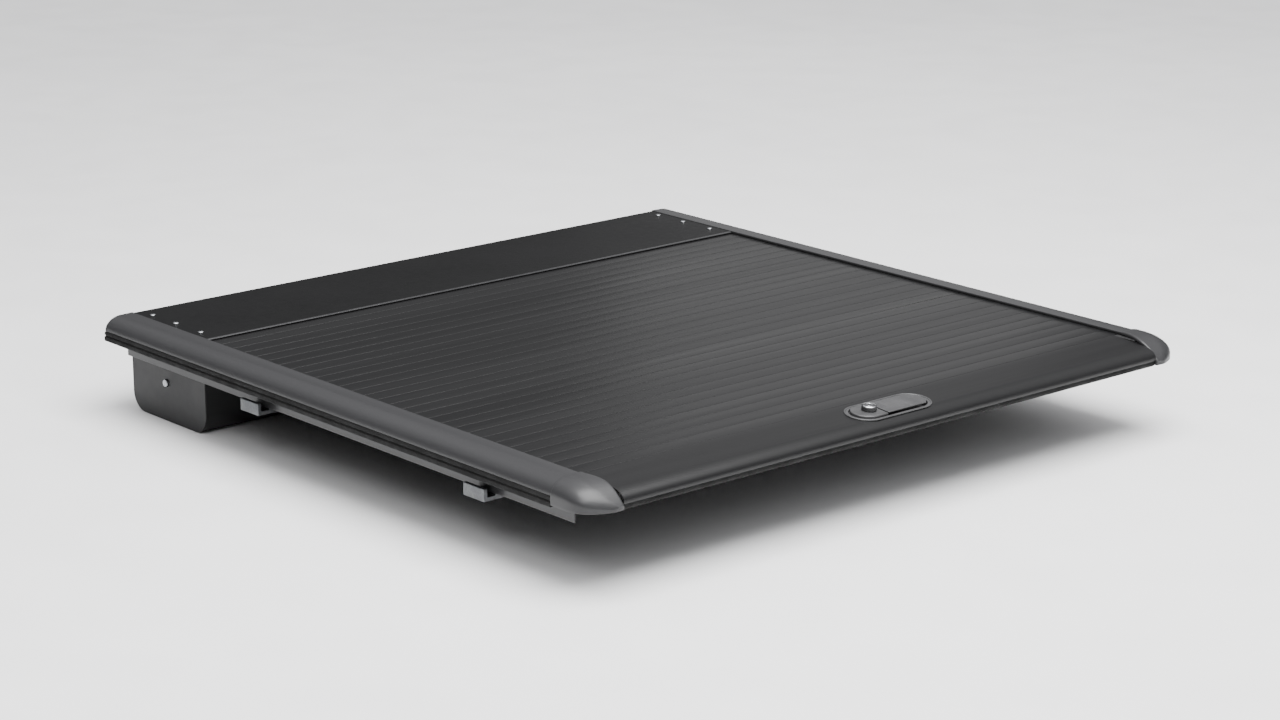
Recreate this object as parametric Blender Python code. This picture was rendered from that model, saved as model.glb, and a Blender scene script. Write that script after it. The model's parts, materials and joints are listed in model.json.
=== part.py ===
"""A retractable roller tonneau cover for a pickup bed.

A slatted curtain with a latched rear bar runs in two side rails and is stored in a canister at the
cab end. Axes: +X to the right, +Y forward to the cab, +Z up, in metres. The origin is mid-width, at
the rear bar's tip, on the seat plane where the side rails rest on the truck's bed rails.
"""

import math

import bmesh
import bpy
from mathutils import Matrix, Vector

# Clearances
GAP = 0.0003
RUNNING = 0.0006

# Overall
COVER_FRONT_Y = 1.520
CAP_LENGTH = 0.100
CURTAIN_Z = 0.0427
SIDES = {"left": -1, "right": 1}

# Side rail section
RAIL_INNER_X = 0.6995
RAIL_CROWN_X = 0.7265
RAIL_OUTER_X = 0.7650
CREST_Z = 0.0484
CROWN_Z = 0.0479
SKIRT_Z = 0.0200
LIP_Z = 0.0434
CHANNEL_FLOOR_Z = 0.0300
FLOOR_INNER_X = 0.6900
WEB_X = 0.7115
WEB_BOTTOM_Z = -0.0400
FOOT_X = 0.7545
WALL = 0.0030

# Rail seal
SEAL_INNER_X = 0.7570
SEAL_OUTER_X = 0.7680

# Curtain
SLAT_PITCH = 0.0393
SLATS_PER_NODE = 2
SLAT_NODES = 15
NODES_PER_PANEL = 3
SLAT_HALF_LENGTH = 0.7080
SLAT_SKIN = 0.0022
GROOVE_HALF_WIDTH = 0.0011
GROOVE_DEPTH = 0.0010
KNUCKLE_DROP = 0.0060
KNUCKLE_OFFSET = 0.0046
KNUCKLE_RADIUS = 0.0040
SOCKET_RADIUS = 0.0026
SOCKET_MOUTH = 0.0009
BEAD_RADIUS = 0.0021
NECK_HALF = 0.0005

# Rear bar
BAR_FRONT_Y = 0.1120
BAR_HALF_LENGTH = 0.6870
BAR_BREAK_Y = 0.1000
BAR_NOSE_Y = 0.0300
BAR_NOSE_Z = 0.0368
BAR_TIP_Z = 0.0170
BAR_BOTTOM_Z = 0.0130
BAR_WALL = 0.0025
BAR_SLOPE = math.atan2(CURTAIN_Z - BAR_NOSE_Z, BAR_BREAK_Y - BAR_NOSE_Y)
GUIDE_REAR_Y = 0.0580
GUIDE_OUTER_X = 0.7105

# Canister
MOUTH_Y = 1.2470
TROUGH_REAR_Y = 1.2455
TROUGH_FRONT_Y = 1.5100
TROUGH_BOTTOM_Z = -0.1500
TROUGH_REAR_TOP_Z = 0.0300
TROUGH_CORNER = 0.0400
TROUGH_HALF_LENGTH = 0.7083
SHEET = 0.0020
END_PLATE_X = 0.7086
LID_TOP_Z = 0.0469
LID_HALF_WIDTH = 0.6985
LID_FRONT_Z = 0.0280
FLANGE_TOP_Z = 0.0446
FLANGE_BOTTOM_Z = 0.0430
FLANGE_INNER_X = 0.6680
LID_SCREW_X = 0.6800
LID_SCREW_YS = (1.300, 1.390, 1.475)

# Roller
DRUM_Y = 1.3850
DRUM_Z = -0.0700
DRUM_RADIUS = 0.0260
DRUM_BORE = 0.0235
DRUM_HALF_LENGTH = 0.6950
AXLE_RADIUS = 0.0080
AXLE_HALF_LENGTH = 0.7150

# Latch, with the handle's own frame lying on the bar's sloping top
HANDLE_Y = 0.0560
BEZEL_LENGTH = 0.1980
BEZEL_WIDTH = 0.0780
BEZEL_RIM_W = 0.0022
BEZEL_FLANGE_W = 0.0010
DISH_LENGTH = 0.1840
DISH_WIDTH = 0.0680
DISH_DEPTH = 0.0155
DISH_WALL = 0.0020
DISH_LEFT_U = -0.0295
PAD_LENGTH = 0.1740
PAD_WIDTH = 0.0600
PAD_TOP_W = 0.0048
GROOVE_W = -0.0040
PADDLE_LEFT_U = -0.0250
PADDLE_REAR_V = -0.0265
PADDLE_THICKNESS = 0.0025
HINGE_RIGHT_U = 0.0560
BARREL_RADIUS = 0.0034
PIN_V = 0.0280
PIN_W = -0.0050
PIN_RADIUS = 0.0015
PIN_LEFT_U = -0.0380
PIN_RIGHT_U = 0.0735
LOCK_U = -0.0500
LOCK_RADIUS = 0.0115
LOCK_SHOULDER = 0.0015
LOCK_CROWN = 0.0040
LOCK_TOP_W = 0.0155
LOCK_BOTTOM_W = -0.0215
CRANK_Y = 0.0780
CRANK_ARM = 0.0125
CRANK_REST = math.radians(30.0)
ROD_WIDTH = 0.0120
ROD_LOW_Z = 0.0195
ROD_HIGH_Z = 0.0335
ROD_THICKNESS = 0.0020
BOLT_RADIUS = 0.0030
BOLT_TIP_X = 0.7075

# Clamps
CLAMP_YS = {"rear": 0.350, "front": 1.050}
CLAMP_BOLT_X = 0.7005
CLAMP_BOLT_RADIUS = 0.0040


# Scene helpers


def clear_scene():
    for obj in list(bpy.data.objects):
        bpy.data.objects.remove(obj, do_unlink=True)


def new_material(name, colour, roughness, metallic):
    material = bpy.data.materials.new(name)
    material.use_nodes = True
    shader = material.node_tree.nodes["Principled BSDF"]
    shader.inputs["Base Color"].default_value = (*colour, 1.0)
    shader.inputs["Roughness"].default_value = roughness
    shader.inputs["Metallic"].default_value = metallic
    return material


def new_object(name, bm, material, smooth=False):
    """Turns a bmesh into an object of its own, with its faces pointing out."""
    bmesh.ops.recalc_face_normals(bm, faces=bm.faces)
    mesh = bpy.data.meshes.new(name)
    bm.to_mesh(mesh)
    bm.free()
    if smooth:
        mesh.shade_smooth()
        mesh.set_sharp_from_angle(angle=math.radians(35.0))
    if material:
        mesh.materials.append(material)
    obj = bpy.data.objects.new(name, mesh)
    bpy.context.scene.collection.objects.link(obj)
    return obj


def set_origin(obj, point):
    """Moves an object's origin to a point on its joint's axis and leaves its shape in place."""
    obj.data.transform(Matrix.Translation(-Vector(point)))
    obj.location = point


def group(name, location, members):
    """Parents a moving group to an empty on its joint's axis."""
    empty = bpy.data.objects.new(name, None)
    bpy.context.scene.collection.objects.link(empty)
    empty.location = location
    empty.empty_display_size = 0.05
    for member in members:
        member.parent = empty
        member.matrix_parent_inverse = Matrix.Translation(-Vector(location))
    return empty


def combine(target, tool, operation):
    """Adds a Boolean of a helper object, which stays hidden."""
    tool.hide_render = True
    tool.display_type = "WIRE"
    tool.parent = target
    tool.matrix_parent_inverse = target.matrix_basis.inverted()
    modifier = target.modifiers.new(operation.lower(), "BOOLEAN")
    modifier.operation = operation
    modifier.solver = "EXACT"
    modifier.object = tool


# Shape helpers


def arc(centre, radius, start, end, steps):
    """Points along an arc, with its angles in degrees."""
    points = []
    for i in range(steps + 1):
        angle = math.radians(start + (end - start) * i / steps)
        points.append((centre[0] + radius * math.cos(angle), centre[1] + radius * math.sin(angle)))
    return points


def on_axis(axis, along, a, b):
    """The point at this distance along an axis, with a and b on the other two axes in order."""
    point = [a, b]
    point.insert("XYZ".index(axis), along)
    return tuple(point)


def prism(name, outline, axis, low, high, material):
    """A closed outline, drawn on the other two axes, extruded along one axis."""
    bm = bmesh.new()
    corners = [bm.verts.new(on_axis(axis, low, a, b)) for a, b in outline]
    face = bm.faces.new(corners)
    raised = bmesh.ops.extrude_face_region(bm, geom=[face])["geom"]
    shift = Vector(on_axis(axis, high - low, 0.0, 0.0))
    bmesh.ops.translate(bm, vec=shift, verts=[v for v in raised if isinstance(v, bmesh.types.BMVert)])
    return new_object(name, bm, material)


def box(name, low, high, material=None):
    outline = [(low[0], low[1]), (high[0], low[1]), (high[0], high[1]), (low[0], high[1])]
    return prism(name, outline, "Z", low[2], high[2], material)


def loft(name, loops, material, smooth=False):
    """Skins loops of equal length, and closes the first and the last one."""
    bm = bmesh.new()
    rings = [[bm.verts.new(point) for point in loop] for loop in loops]
    for ring, following in zip(rings, rings[1:]):
        for i in range(len(ring)):
            j = (i + 1) % len(ring)
            bm.faces.new((ring[i], ring[j], following[j], following[i]))
    bm.faces.new(rings[0])
    bm.faces.new(rings[-1])
    return new_object(name, bm, material, smooth)


def ring_points(axis, centre, radius, along, sides):
    """A circle about a centre on the other two axes, at this distance along one axis."""
    points = []
    for i in range(sides):
        angle = 2 * math.pi * i / sides
        a = centre[0] + radius * math.cos(angle)
        b = centre[1] + radius * math.sin(angle)
        points.append(on_axis(axis, along, a, b))
    return points


def turned(name, profile, axis, centre, sides, material):
    """A solid of revolution from (radius, distance along the axis) steps."""
    loops = [ring_points(axis, centre, radius, along, sides) for radius, along in profile]
    return loft(name, loops, material, smooth=True)


def sleeve(name, outer, inner, low, high, axis, centre, sides, material):
    """A tube with open ends."""
    bm = bmesh.new()
    sections = ((outer, low), (outer, high), (inner, high), (inner, low))
    rings = []
    for radius, along in sections:
        rings.append([bm.verts.new(p) for p in ring_points(axis, centre, radius, along, sides)])
    for ring, following in zip(rings, rings[1:] + rings[:1]):
        for i in range(sides):
            j = (i + 1) % sides
            bm.faces.new((ring[i], ring[j], following[j], following[i]))
    return new_object(name, bm, material, smooth=True)


def stadium(length, width, w, steps=8):
    """A loop with two straight sides and two round ends, about the origin, at height w."""
    radius = width / 2
    centre = length / 2 - radius
    right = arc((centre, 0.0), radius, -90, 90, steps)
    left = arc((-centre, 0.0), radius, 90, 270, steps)
    return [(u, v, w) for u, v in right + left]


# Side rails


def crown(inset, steps=8):
    """The rail's rounded shoulder: a quarter ellipse from the flat top out and down to the skirt."""
    across = RAIL_OUTER_X - RAIL_CROWN_X - inset
    height = CROWN_Z - SKIRT_Z - inset
    points = []
    for i in range(steps + 1):
        angle = math.pi / 2 * i / steps
        points.append((RAIL_CROWN_X + across * math.sin(angle), SKIRT_Z + height * math.cos(angle)))
    return points


def rail_outline():
    """The right rail's section, on X and Z."""
    web_outer = WEB_X + WALL
    floor_under = CHANNEL_FLOOR_Z - WALL
    shoulder = crown(0.0)
    inside = crown(WALL)[::-1]
    return [
        (RAIL_INNER_X, CREST_Z - 0.001),
        (RAIL_INNER_X + 0.001, CREST_Z),
        *shoulder,
        *inside,
        (web_outer, CROWN_Z - WALL),
        (web_outer, WALL),
        (FOOT_X, WALL),
        (FOOT_X, 0.0),
        (web_outer, 0.0),
        (web_outer, WEB_BOTTOM_Z),
        (WEB_X, WEB_BOTTOM_Z),
        (WEB_X, floor_under),
        (FLOOR_INNER_X, floor_under),
        (FLOOR_INNER_X, CHANNEL_FLOOR_Z),
        (WEB_X, CHANNEL_FLOOR_Z),
        (WEB_X, LIP_Z),
        (RAIL_INNER_X, LIP_Z),
    ]


def mirrored(outline, side):
    return [(side * a, b) for a, b in outline]


def side_box(name, side, low, high, material=None):
    """A box given on the right-hand side and placed on either side."""
    x0, x1 = sorted((side * low[0], side * high[0]))
    return box(name, (x0, low[1], low[2]), (x1, high[1], high[2]), material)


def make_rail(label, side, material):
    name = f"rail_{label}"
    rail = prism(name, mirrored(rail_outline(), side), "Y", CAP_LENGTH, COVER_FRONT_Y, material)
    # The channel's floor ends at the canister, and the lip above it is thinner there for the end plate.
    room = side_box(
        f"{name}_canister_room",
        side,
        (FLOOR_INNER_X - 0.005, TROUGH_REAR_Y - 0.0015, 0.0200),
        (WEB_X + 0.0002, COVER_FRONT_Y + 0.01, FLANGE_TOP_Z + RUNNING),
    )
    combine(rail, room, "DIFFERENCE")
    for where, y in CLAMP_YS.items():
        hole = turned(
            f"{name}_hole_{where}",
            ((CLAMP_BOLT_RADIUS + 0.0004, 0.0200), (CLAMP_BOLT_RADIUS + 0.0004, 0.0320)),
            "Z",
            (side * CLAMP_BOLT_X, y),
            16,
            None,
        )
        combine(rail, hole, "DIFFERENCE")
    return rail


def make_rail_seal(label, side, material):
    """A rubber strip under the skirt, with the groove that gives it its double line."""
    top = SKIRT_Z - GAP
    outline = [
        (SEAL_INNER_X, 0.0),
        (SEAL_OUTER_X - 0.0010, 0.0),
        (SEAL_OUTER_X, 0.0020),
        (SEAL_OUTER_X, 0.0085),
        (SEAL_OUTER_X - 0.0028, 0.0100),
        (SEAL_OUTER_X - 0.0028, 0.0120),
        (SEAL_OUTER_X - 0.0008, 0.0132),
        (SEAL_OUTER_X - 0.0010, 0.0175),
        (RAIL_OUTER_X, top),
        (SEAL_INNER_X + 0.0045, top),
        (SEAL_INNER_X, 0.0120),
    ]
    return prism(
        f"rail_seal_{label}", mirrored(outline, side), "Y", CAP_LENGTH, COVER_FRONT_Y, material
    )


# Corner caps


def smooth_step(t):
    return t * t * (3 - 2 * t)


def cap_section(t, side):
    """A corner cap's section, from its inner top edge out and down; t runs 0 at the rail to 1 at the nose."""
    y = CAP_LENGTH * (1 - t) * (1 - 0.15 * t) - GAP
    fall = max(0.0, (t - 0.10) / 0.90)
    crest = CREST_Z - (CREST_Z - 0.0115) * fall**2.6
    bottom = 0.0040
    inner = RAIL_INNER_X - (RAIL_INNER_X - 0.6900) * smooth_step(min(1.0, t / 0.6))
    outer = RAIL_OUTER_X - (RAIL_OUTER_X - 0.7080) * fall**4.5
    shape = [(0.0, 1.0), (0.2, 1.0), (0.41, 0.99)]
    for i in range(1, 7):
        angle = math.pi / 2 * i / 6
        shape.append((0.41 + 0.59 * math.sin(angle), 0.36 + 0.63 * math.cos(angle)))
    shape.append((1.0, 0.0))
    return [(side * (inner + (outer - inner) * a), y, bottom + (crest - bottom) * b) for a, b in shape]


def make_corner_cap(label, side, material, steps=11):
    """A moulded shell, open below and towards the rail, that ends the rail in a rounded nose."""
    bm = bmesh.new()
    rows = []
    for i in range(steps + 1):
        rows.append([bm.verts.new(p) for p in cap_section(i / steps, side)])
    for row, following in zip(rows, rows[1:]):
        for j in range(len(row) - 1):
            corners = (row[j], row[j + 1], following[j + 1], following[j])
            bm.faces.new(corners if side > 0 else corners[::-1])
    bm.faces.new(rows[-1] if side > 0 else rows[-1][::-1])
    mesh = bpy.data.meshes.new(f"corner_cap_{label}")
    bm.to_mesh(mesh)
    bm.free()
    mesh.shade_smooth()
    mesh.materials.append(material)
    cap = bpy.data.objects.new(f"corner_cap_{label}", mesh)
    bpy.context.scene.collection.objects.link(cap)
    shell = cap.modifiers.new("shell", "SOLIDIFY")
    shell.thickness = 0.0024
    shell.offset = -1.0
    return cap


# Latch strikers and clamps


def make_striker(label, side, material):
    """A bracket behind the channel's floor, with the stop that the bar's guide closes against."""
    floor_under = CHANNEL_FLOOR_Z - WALL
    outline = [
        (0.0440, floor_under),
        (CAP_LENGTH - GAP, floor_under),
        (CAP_LENGTH - GAP, CHANNEL_FLOOR_Z),
        (GUIDE_REAR_Y - RUNNING, CHANNEL_FLOOR_Z),
        (GUIDE_REAR_Y - RUNNING, 0.0390),
        (0.0440, 0.0365),
    ]
    x0, x1 = sorted((side * (FLOOR_INNER_X + 0.0005), side * (WEB_X - 0.0005)))
    return prism(f"latch_striker_{label}", outline, "X", x0, x1, material)


def make_clamp(label, side, where, y, jaw_material, bolt_material):
    """A jaw that hooks under the bed's inner flange, and the bolt that draws it up to the rail."""
    outline = [
        (0.6920, -0.0520),
        (0.7380, -0.0520),
        (0.7380, -0.0280),
        (0.7300, -0.0280),
        (0.7300, -0.0440),
        (WEB_X - 0.0005, -0.0440),
        (WEB_X - 0.0005, -0.0060),
        (0.7065, -0.0060),
        (0.7065, -0.0440),
        (0.6920, -0.0440),
    ]
    name = f"{label}_{where}"
    jaw = prism(f"clamp_jaw_{name}", mirrored(outline, side), "Y", y - 0.030, y + 0.030, jaw_material)
    centre = (side * CLAMP_BOLT_X, y)
    hole = turned(
        f"clamp_hole_{name}",
        ((CLAMP_BOLT_RADIUS + 0.0004, -0.0600), (CLAMP_BOLT_RADIUS + 0.0004, -0.0400)),
        "Z",
        centre,
        16,
        None,
    )
    combine(jaw, hole, "DIFFERENCE")
    profile = (
        (0.0030, -0.0560),
        (0.0030, -0.0605),
        (0.0060, -0.0605),
        (0.0068, -0.0595),
        (0.0068, -0.0523),
        (CLAMP_BOLT_RADIUS, -0.0523),
        (CLAMP_BOLT_RADIUS, CHANNEL_FLOOR_Z - 0.0012),
        (CLAMP_BOLT_RADIUS - 0.0008, CHANNEL_FLOOR_Z - 0.0004),
    )
    bolt = turned(f"clamp_bolt_{name}", profile, "Z", centre, 12, bolt_material)
    return jaw, bolt


# Curtain


def hook(end):
    """The bead on a neck that hangs a slat or the bar from the next slat, from below up to the top edge."""
    centre = (end + KNUCKLE_OFFSET, CURTAIN_Z - KNUCKLE_DROP)
    neck = math.degrees(math.asin(NECK_HALF / BEAD_RADIUS))
    skin_under = CURTAIN_Z - SLAT_SKIN
    return [
        (end - 0.0020, skin_under),
        (end - 0.0020, centre[1] - NECK_HALF),
        *arc(centre, BEAD_RADIUS, -180 + neck, 180 - neck, 8),
        (end - 0.0008, centre[1] + NECK_HALF),
        (end - 0.0008, skin_under),
        (end - GAP, skin_under),
        (end - GAP, CURTAIN_Z - GROOVE_DEPTH),
        (end - GROOVE_HALF_WIDTH, CURTAIN_Z),
    ]


def knuckle_meet():
    """The angle at which a knuckle's circle meets the slat's skin."""
    return math.degrees(math.asin((KNUCKLE_DROP - SLAT_SKIN) / KNUCKLE_RADIUS))


def socket(start):
    """The open knuckle at a slat's rear end, from the top edge down, round and forward to the skin."""
    centre = (start + KNUCKLE_OFFSET, CURTAIN_Z - KNUCKLE_DROP)
    outer_mouth = math.degrees(math.asin(SOCKET_MOUTH / KNUCKLE_RADIUS))
    inner_mouth = math.degrees(math.asin(SOCKET_MOUTH / SOCKET_RADIUS))
    meet = knuckle_meet()
    return [
        (start + GROOVE_HALF_WIDTH, CURTAIN_Z),
        (start + GAP, CURTAIN_Z - GROOVE_DEPTH),
        (start + GAP, CURTAIN_Z - SLAT_SKIN),
        *arc(centre, KNUCKLE_RADIUS, 180 - meet, 180 - outer_mouth, 2),
        *arc(centre, SOCKET_RADIUS, 180 - inner_mouth, -180 + inner_mouth, 8),
        *arc(centre, KNUCKLE_RADIUS, -180 + outer_mouth, meet, 7),
    ]


def closed_knuckle(start):
    """A knuckle between two slats of one node, round and solid."""
    meet = knuckle_meet()
    centre = (start + KNUCKLE_OFFSET, CURTAIN_Z - KNUCKLE_DROP)
    return arc(centre, KNUCKLE_RADIUS, -180 - meet, meet, 8)


def slat_outline(start):
    """The section of one node's slats, on Y and Z, from its rear edge forward."""
    end = start + SLATS_PER_NODE * SLAT_PITCH
    joints = [start + SLAT_PITCH * i for i in range(1, SLATS_PER_NODE)]
    under = []
    top = []
    for joint in joints:
        under += closed_knuckle(joint)
    for joint in reversed(joints):
        top.append((joint + GROOVE_HALF_WIDTH, CURTAIN_Z))
        top.append((joint, CURTAIN_Z - GROOVE_DEPTH))
        top.append((joint - GROOVE_HALF_WIDTH, CURTAIN_Z))
    return socket(start) + under + hook(end) + top


def make_slats(material):
    """The slat nodes in order from the bar to the canister."""
    slats = []
    for i in range(SLAT_NODES):
        start = BAR_FRONT_Y + i * SLATS_PER_NODE * SLAT_PITCH
        name = f"slat_pair_{i + 1:02d}"
        slats.append(
            prism(name, slat_outline(start), "X", -SLAT_HALF_LENGTH, SLAT_HALF_LENGTH, material)
        )
    return slats


# Rear bar


def bar_nose(inset, steps=5):
    """The bar's rounded nose: a quarter ellipse from the sloping top down to the tip."""
    across = BAR_NOSE_Y - inset
    height = BAR_NOSE_Z - BAR_TIP_Z - inset
    points = []
    for i in range(steps + 1):
        angle = math.pi / 2 * i / steps
        points.append((BAR_NOSE_Y - across * math.sin(angle), BAR_TIP_Z + height * math.cos(angle)))
    return points


def bar_outline():
    """The bar's section, on Y and Z: a shell open below, with a hook for the first slat."""
    lip_top = BAR_BOTTOM_Z + BAR_WALL
    web_front = BAR_FRONT_Y - 0.0060
    web_rear = web_front - BAR_WALL
    rear_lip = 0.0220
    front_lip = 0.0900
    return [
        *hook(BAR_FRONT_Y),
        (BAR_BREAK_Y, CURTAIN_Z),
        *bar_nose(0.0),
        (0.0010, BAR_BOTTOM_Z),
        (rear_lip, BAR_BOTTOM_Z),
        (rear_lip, lip_top),
        *bar_nose(BAR_WALL)[::-1],
        (BAR_BREAK_Y, CURTAIN_Z - BAR_WALL),
        (web_rear, CURTAIN_Z - BAR_WALL),
        (web_rear, lip_top),
        (front_lip, lip_top),
        (front_lip, BAR_BOTTOM_Z),
        (web_front, BAR_BOTTOM_Z),
        (web_front, CURTAIN_Z - SLAT_SKIN),
    ]


def bar_surface_z(y):
    """The height of the bar's sloping top."""
    return CURTAIN_Z - (BAR_BREAK_Y - y) * math.tan(BAR_SLOPE)


def handle_frame():
    """The handle's frame: u along X, v up the bar's slope towards the cab, w out of the bar's top."""
    centre = (0.0, HANDLE_Y, bar_surface_z(HANDLE_Y))
    return Matrix.Translation(centre) @ Matrix.Rotation(BAR_SLOPE, 4, "X")


def lay_on_bar(obj, origin=(0.0, 0.0, 0.0)):
    """Places an object made in the handle's frame, and its helpers, with its origin at a point there."""
    for piece in (obj, *obj.children):
        piece.data.transform(Matrix.Translation(-Vector(origin)))
    obj.matrix_world = handle_frame() @ Matrix.Translation(origin)


def make_rear_bar(material):
    bar = prism("rear_bar", bar_outline(), "X", -BAR_HALF_LENGTH, BAR_HALF_LENGTH, material)
    loops = [stadium(DISH_LENGTH + 0.002, DISH_WIDTH + 0.002, w) for w in (-0.010, 0.010)]
    pocket = loft("rear_bar_pocket", loops, None)
    lay_on_bar(pocket)
    combine(bar, pocket, "DIFFERENCE")
    return bar


def make_bar_seal(material):
    """The rubber bulb under the bar's rear lip, which meets the top of the tailgate."""
    top = BAR_BOTTOM_Z - GAP
    outline = [
        (0.0030, top),
        (0.0030, 0.0100),
        *arc((0.0100, 0.0075), 0.0070, 160, 380, 8),
        (0.0190, 0.0100),
        (0.0190, top),
    ]
    return prism("bar_lip_seal", outline, "X", -BAR_HALF_LENGTH, BAR_HALF_LENGTH, material)


def rod_centre_y(side):
    """A latch rod's middle: half way along the arc that its crank pin follows."""
    reach = CRANK_ARM * (1 + math.cos(CRANK_REST)) / 2
    return CRANK_Y - side * reach


def make_bar_guide(label, side, material):
    """A plastic guide on the bar's end, which runs in the rail's channel and lets the bolt through."""
    guide = side_box(
        f"bar_guide_{label}",
        side,
        (BAR_HALF_LENGTH + GAP, GUIDE_REAR_Y, CHANNEL_FLOOR_Z + 0.0004),
        (GUIDE_OUTER_X, BAR_FRONT_Y - 0.0004, CURTAIN_Z - 0.0005),
        material,
    )
    way = turned(
        f"bar_guide_way_{label}",
        ((BOLT_RADIUS + 0.0004, side * 0.680), (BOLT_RADIUS + 0.0004, side * 0.720)),
        "X",
        (rod_centre_y(side), ROD_HIGH_Z),
        16,
        None,
    )
    combine(guide, way, "DIFFERENCE")
    return guide


# Handle and latch


def rounded_end(left, half_width, length):
    """A plan outline, flat on the left, with the right end of a stadium that has this whole length."""
    nose = arc((length / 2 - half_width, 0.0), half_width, -90, 90, 8)
    return [(left, half_width), (left, -half_width), *nose]


def pin_bore(name):
    span = ((PIN_RADIUS + GAP, PIN_LEFT_U - 0.0010), (PIN_RADIUS + GAP, PIN_RIGHT_U + 0.0080))
    return turned(name, span, "X", (PIN_V, PIN_W), 12, None)


def make_bezel(material):
    """The handle's moulding: a rim, a groove, a raised pad round the lock and a dish for the paddle."""
    shape = (
        (DISH_LENGTH, DISH_WIDTH, -DISH_DEPTH),
        (DISH_LENGTH, DISH_WIDTH, GAP),
        (BEZEL_LENGTH, BEZEL_WIDTH, GAP),
        (BEZEL_LENGTH, BEZEL_WIDTH, BEZEL_FLANGE_W),
        (BEZEL_LENGTH - 0.0020, BEZEL_WIDTH - 0.0020, BEZEL_RIM_W),
        (BEZEL_LENGTH - 0.0060, BEZEL_WIDTH - 0.0060, BEZEL_RIM_W),
        (BEZEL_LENGTH - 0.0080, BEZEL_WIDTH - 0.0080, BEZEL_FLANGE_W),
        (DISH_LENGTH - 0.0034, DISH_WIDTH - 0.0034, BEZEL_FLANGE_W),
        (DISH_LENGTH - 0.0040, DISH_WIDTH - 0.0040, GROOVE_W),
        (PAD_LENGTH, PAD_WIDTH, GROOVE_W),
        (PAD_LENGTH, PAD_WIDTH, PAD_TOP_W - 0.0015),
        (PAD_LENGTH - 0.0030, PAD_WIDTH - 0.0030, PAD_TOP_W),
    )
    bezel = loft("handle_bezel", [stadium(*loop) for loop in shape], material)
    inside = rounded_end(DISH_LEFT_U, DISH_WIDTH / 2 - DISH_WALL, DISH_LENGTH - 2 * DISH_WALL)
    dish = prism("bezel_dish", inside, "Z", DISH_WALL - DISH_DEPTH, 0.010, None)
    lock_hole = turned(
        "bezel_lock_hole",
        ((LOCK_RADIUS + 0.0004, -0.020), (LOCK_RADIUS + 0.0004, 0.010)),
        "Z",
        (LOCK_U, 0.0),
        24,
        None,
    )
    slot = box("bezel_slot", (0.0105, PIN_V - 0.0105, -0.020), (0.0295, PIN_V + 0.0030, -0.010))
    for tool in (dish, lock_hole, slot, pin_bore("bezel_pin_hole")):
        combine(bezel, tool, "DIFFERENCE")
    lay_on_bar(bezel)
    return bezel


def make_paddle(material):
    """The lever: a plate level with the pad, a hinge barrel under its front edge and a tail below."""
    top = PAD_TOP_W
    front = PIN_V - 0.0010
    plate_section = [
        (PADDLE_REAR_V, top - PADDLE_THICKNESS),
        (PADDLE_REAR_V, top - 0.0010),
        (PADDLE_REAR_V + 0.0010, top),
        (front - 0.0008, top),
        (front, top - 0.0008),
        (front, top - PADDLE_THICKNESS),
    ]
    paddle = prism("handle_paddle", plate_section, "X", PADDLE_LEFT_U, PAD_LENGTH / 2 + 0.001, material)
    plan = rounded_end(PADDLE_LEFT_U - 0.001, PAD_WIDTH / 2, PAD_LENGTH)
    combine(paddle, prism("paddle_outline", plan, "Z", -0.001, 0.010, None), "INTERSECT")
    hinge_section = [
        (front - 0.0034, top - 0.0010),
        (front - 0.0002, top - 0.0010),
        *arc((PIN_V, PIN_W), BARREL_RADIUS, 100, -190, 10),
    ]
    hinge = prism("paddle_hinge", hinge_section, "X", PADDLE_LEFT_U + 0.0005, HINGE_RIGHT_U, None)
    tail = box("paddle_tail", (0.0120, PIN_V - 0.002, -0.0180), (0.0280, PIN_V + 0.002, -0.0060))
    combine(paddle, hinge, "UNION")
    combine(paddle, tail, "UNION")
    combine(paddle, pin_bore("paddle_bore"), "DIFFERENCE")
    lay_on_bar(paddle, (0.0, PIN_V, PIN_W))
    return paddle


def make_pin(material):
    profile = ((PIN_RADIUS, PIN_LEFT_U), (PIN_RADIUS, PIN_RIGHT_U))
    pin = turned("paddle_pin", profile, "X", (PIN_V, PIN_W), 12, material)
    lay_on_bar(pin, (0.0, PIN_V, PIN_W))
    return pin


def make_lock(cylinder_material, cam_material):
    """The key cylinder with its domed head and slot, and the cam below it."""
    head = LOCK_RADIUS + LOCK_SHOULDER
    seat = PAD_TOP_W + GAP
    profile = [
        (LOCK_RADIUS, LOCK_BOTTOM_W),
        (LOCK_RADIUS, seat),
        (head, seat + LOCK_SHOULDER),
        (head, LOCK_TOP_W - LOCK_CROWN),
        *arc((head - LOCK_CROWN, LOCK_TOP_W - LOCK_CROWN), LOCK_CROWN, 22.5, 90, 3),
    ]
    origin = (LOCK_U, 0.0, 0.0)
    cylinder = turned("lock_cylinder", profile, "Z", (LOCK_U, 0.0), 24, cylinder_material)
    keyway = box("lock_keyway", (LOCK_U - 0.0006, -0.0038, 0.0085), (LOCK_U + 0.0006, 0.0038, 0.0200))
    combine(cylinder, keyway, "DIFFERENCE")
    lay_on_bar(cylinder, origin)
    reach = 0.0240
    outline = arc((LOCK_U, 0.0), 0.0070, 90, 270, 6) + arc((LOCK_U + reach, 0.0), 0.0040, -90, 90, 5)
    cam = prism("lock_cam", outline, "Z", -0.0238, -0.0218, cam_material)
    lay_on_bar(cam, origin)
    return cylinder, cam


def crank_pin(side):
    """A crank pin's place at rest: the left rod's pin is the front one."""
    return (side * CRANK_ARM * math.sin(CRANK_REST), CRANK_Y - side * CRANK_ARM * math.cos(CRANK_REST))


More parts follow.
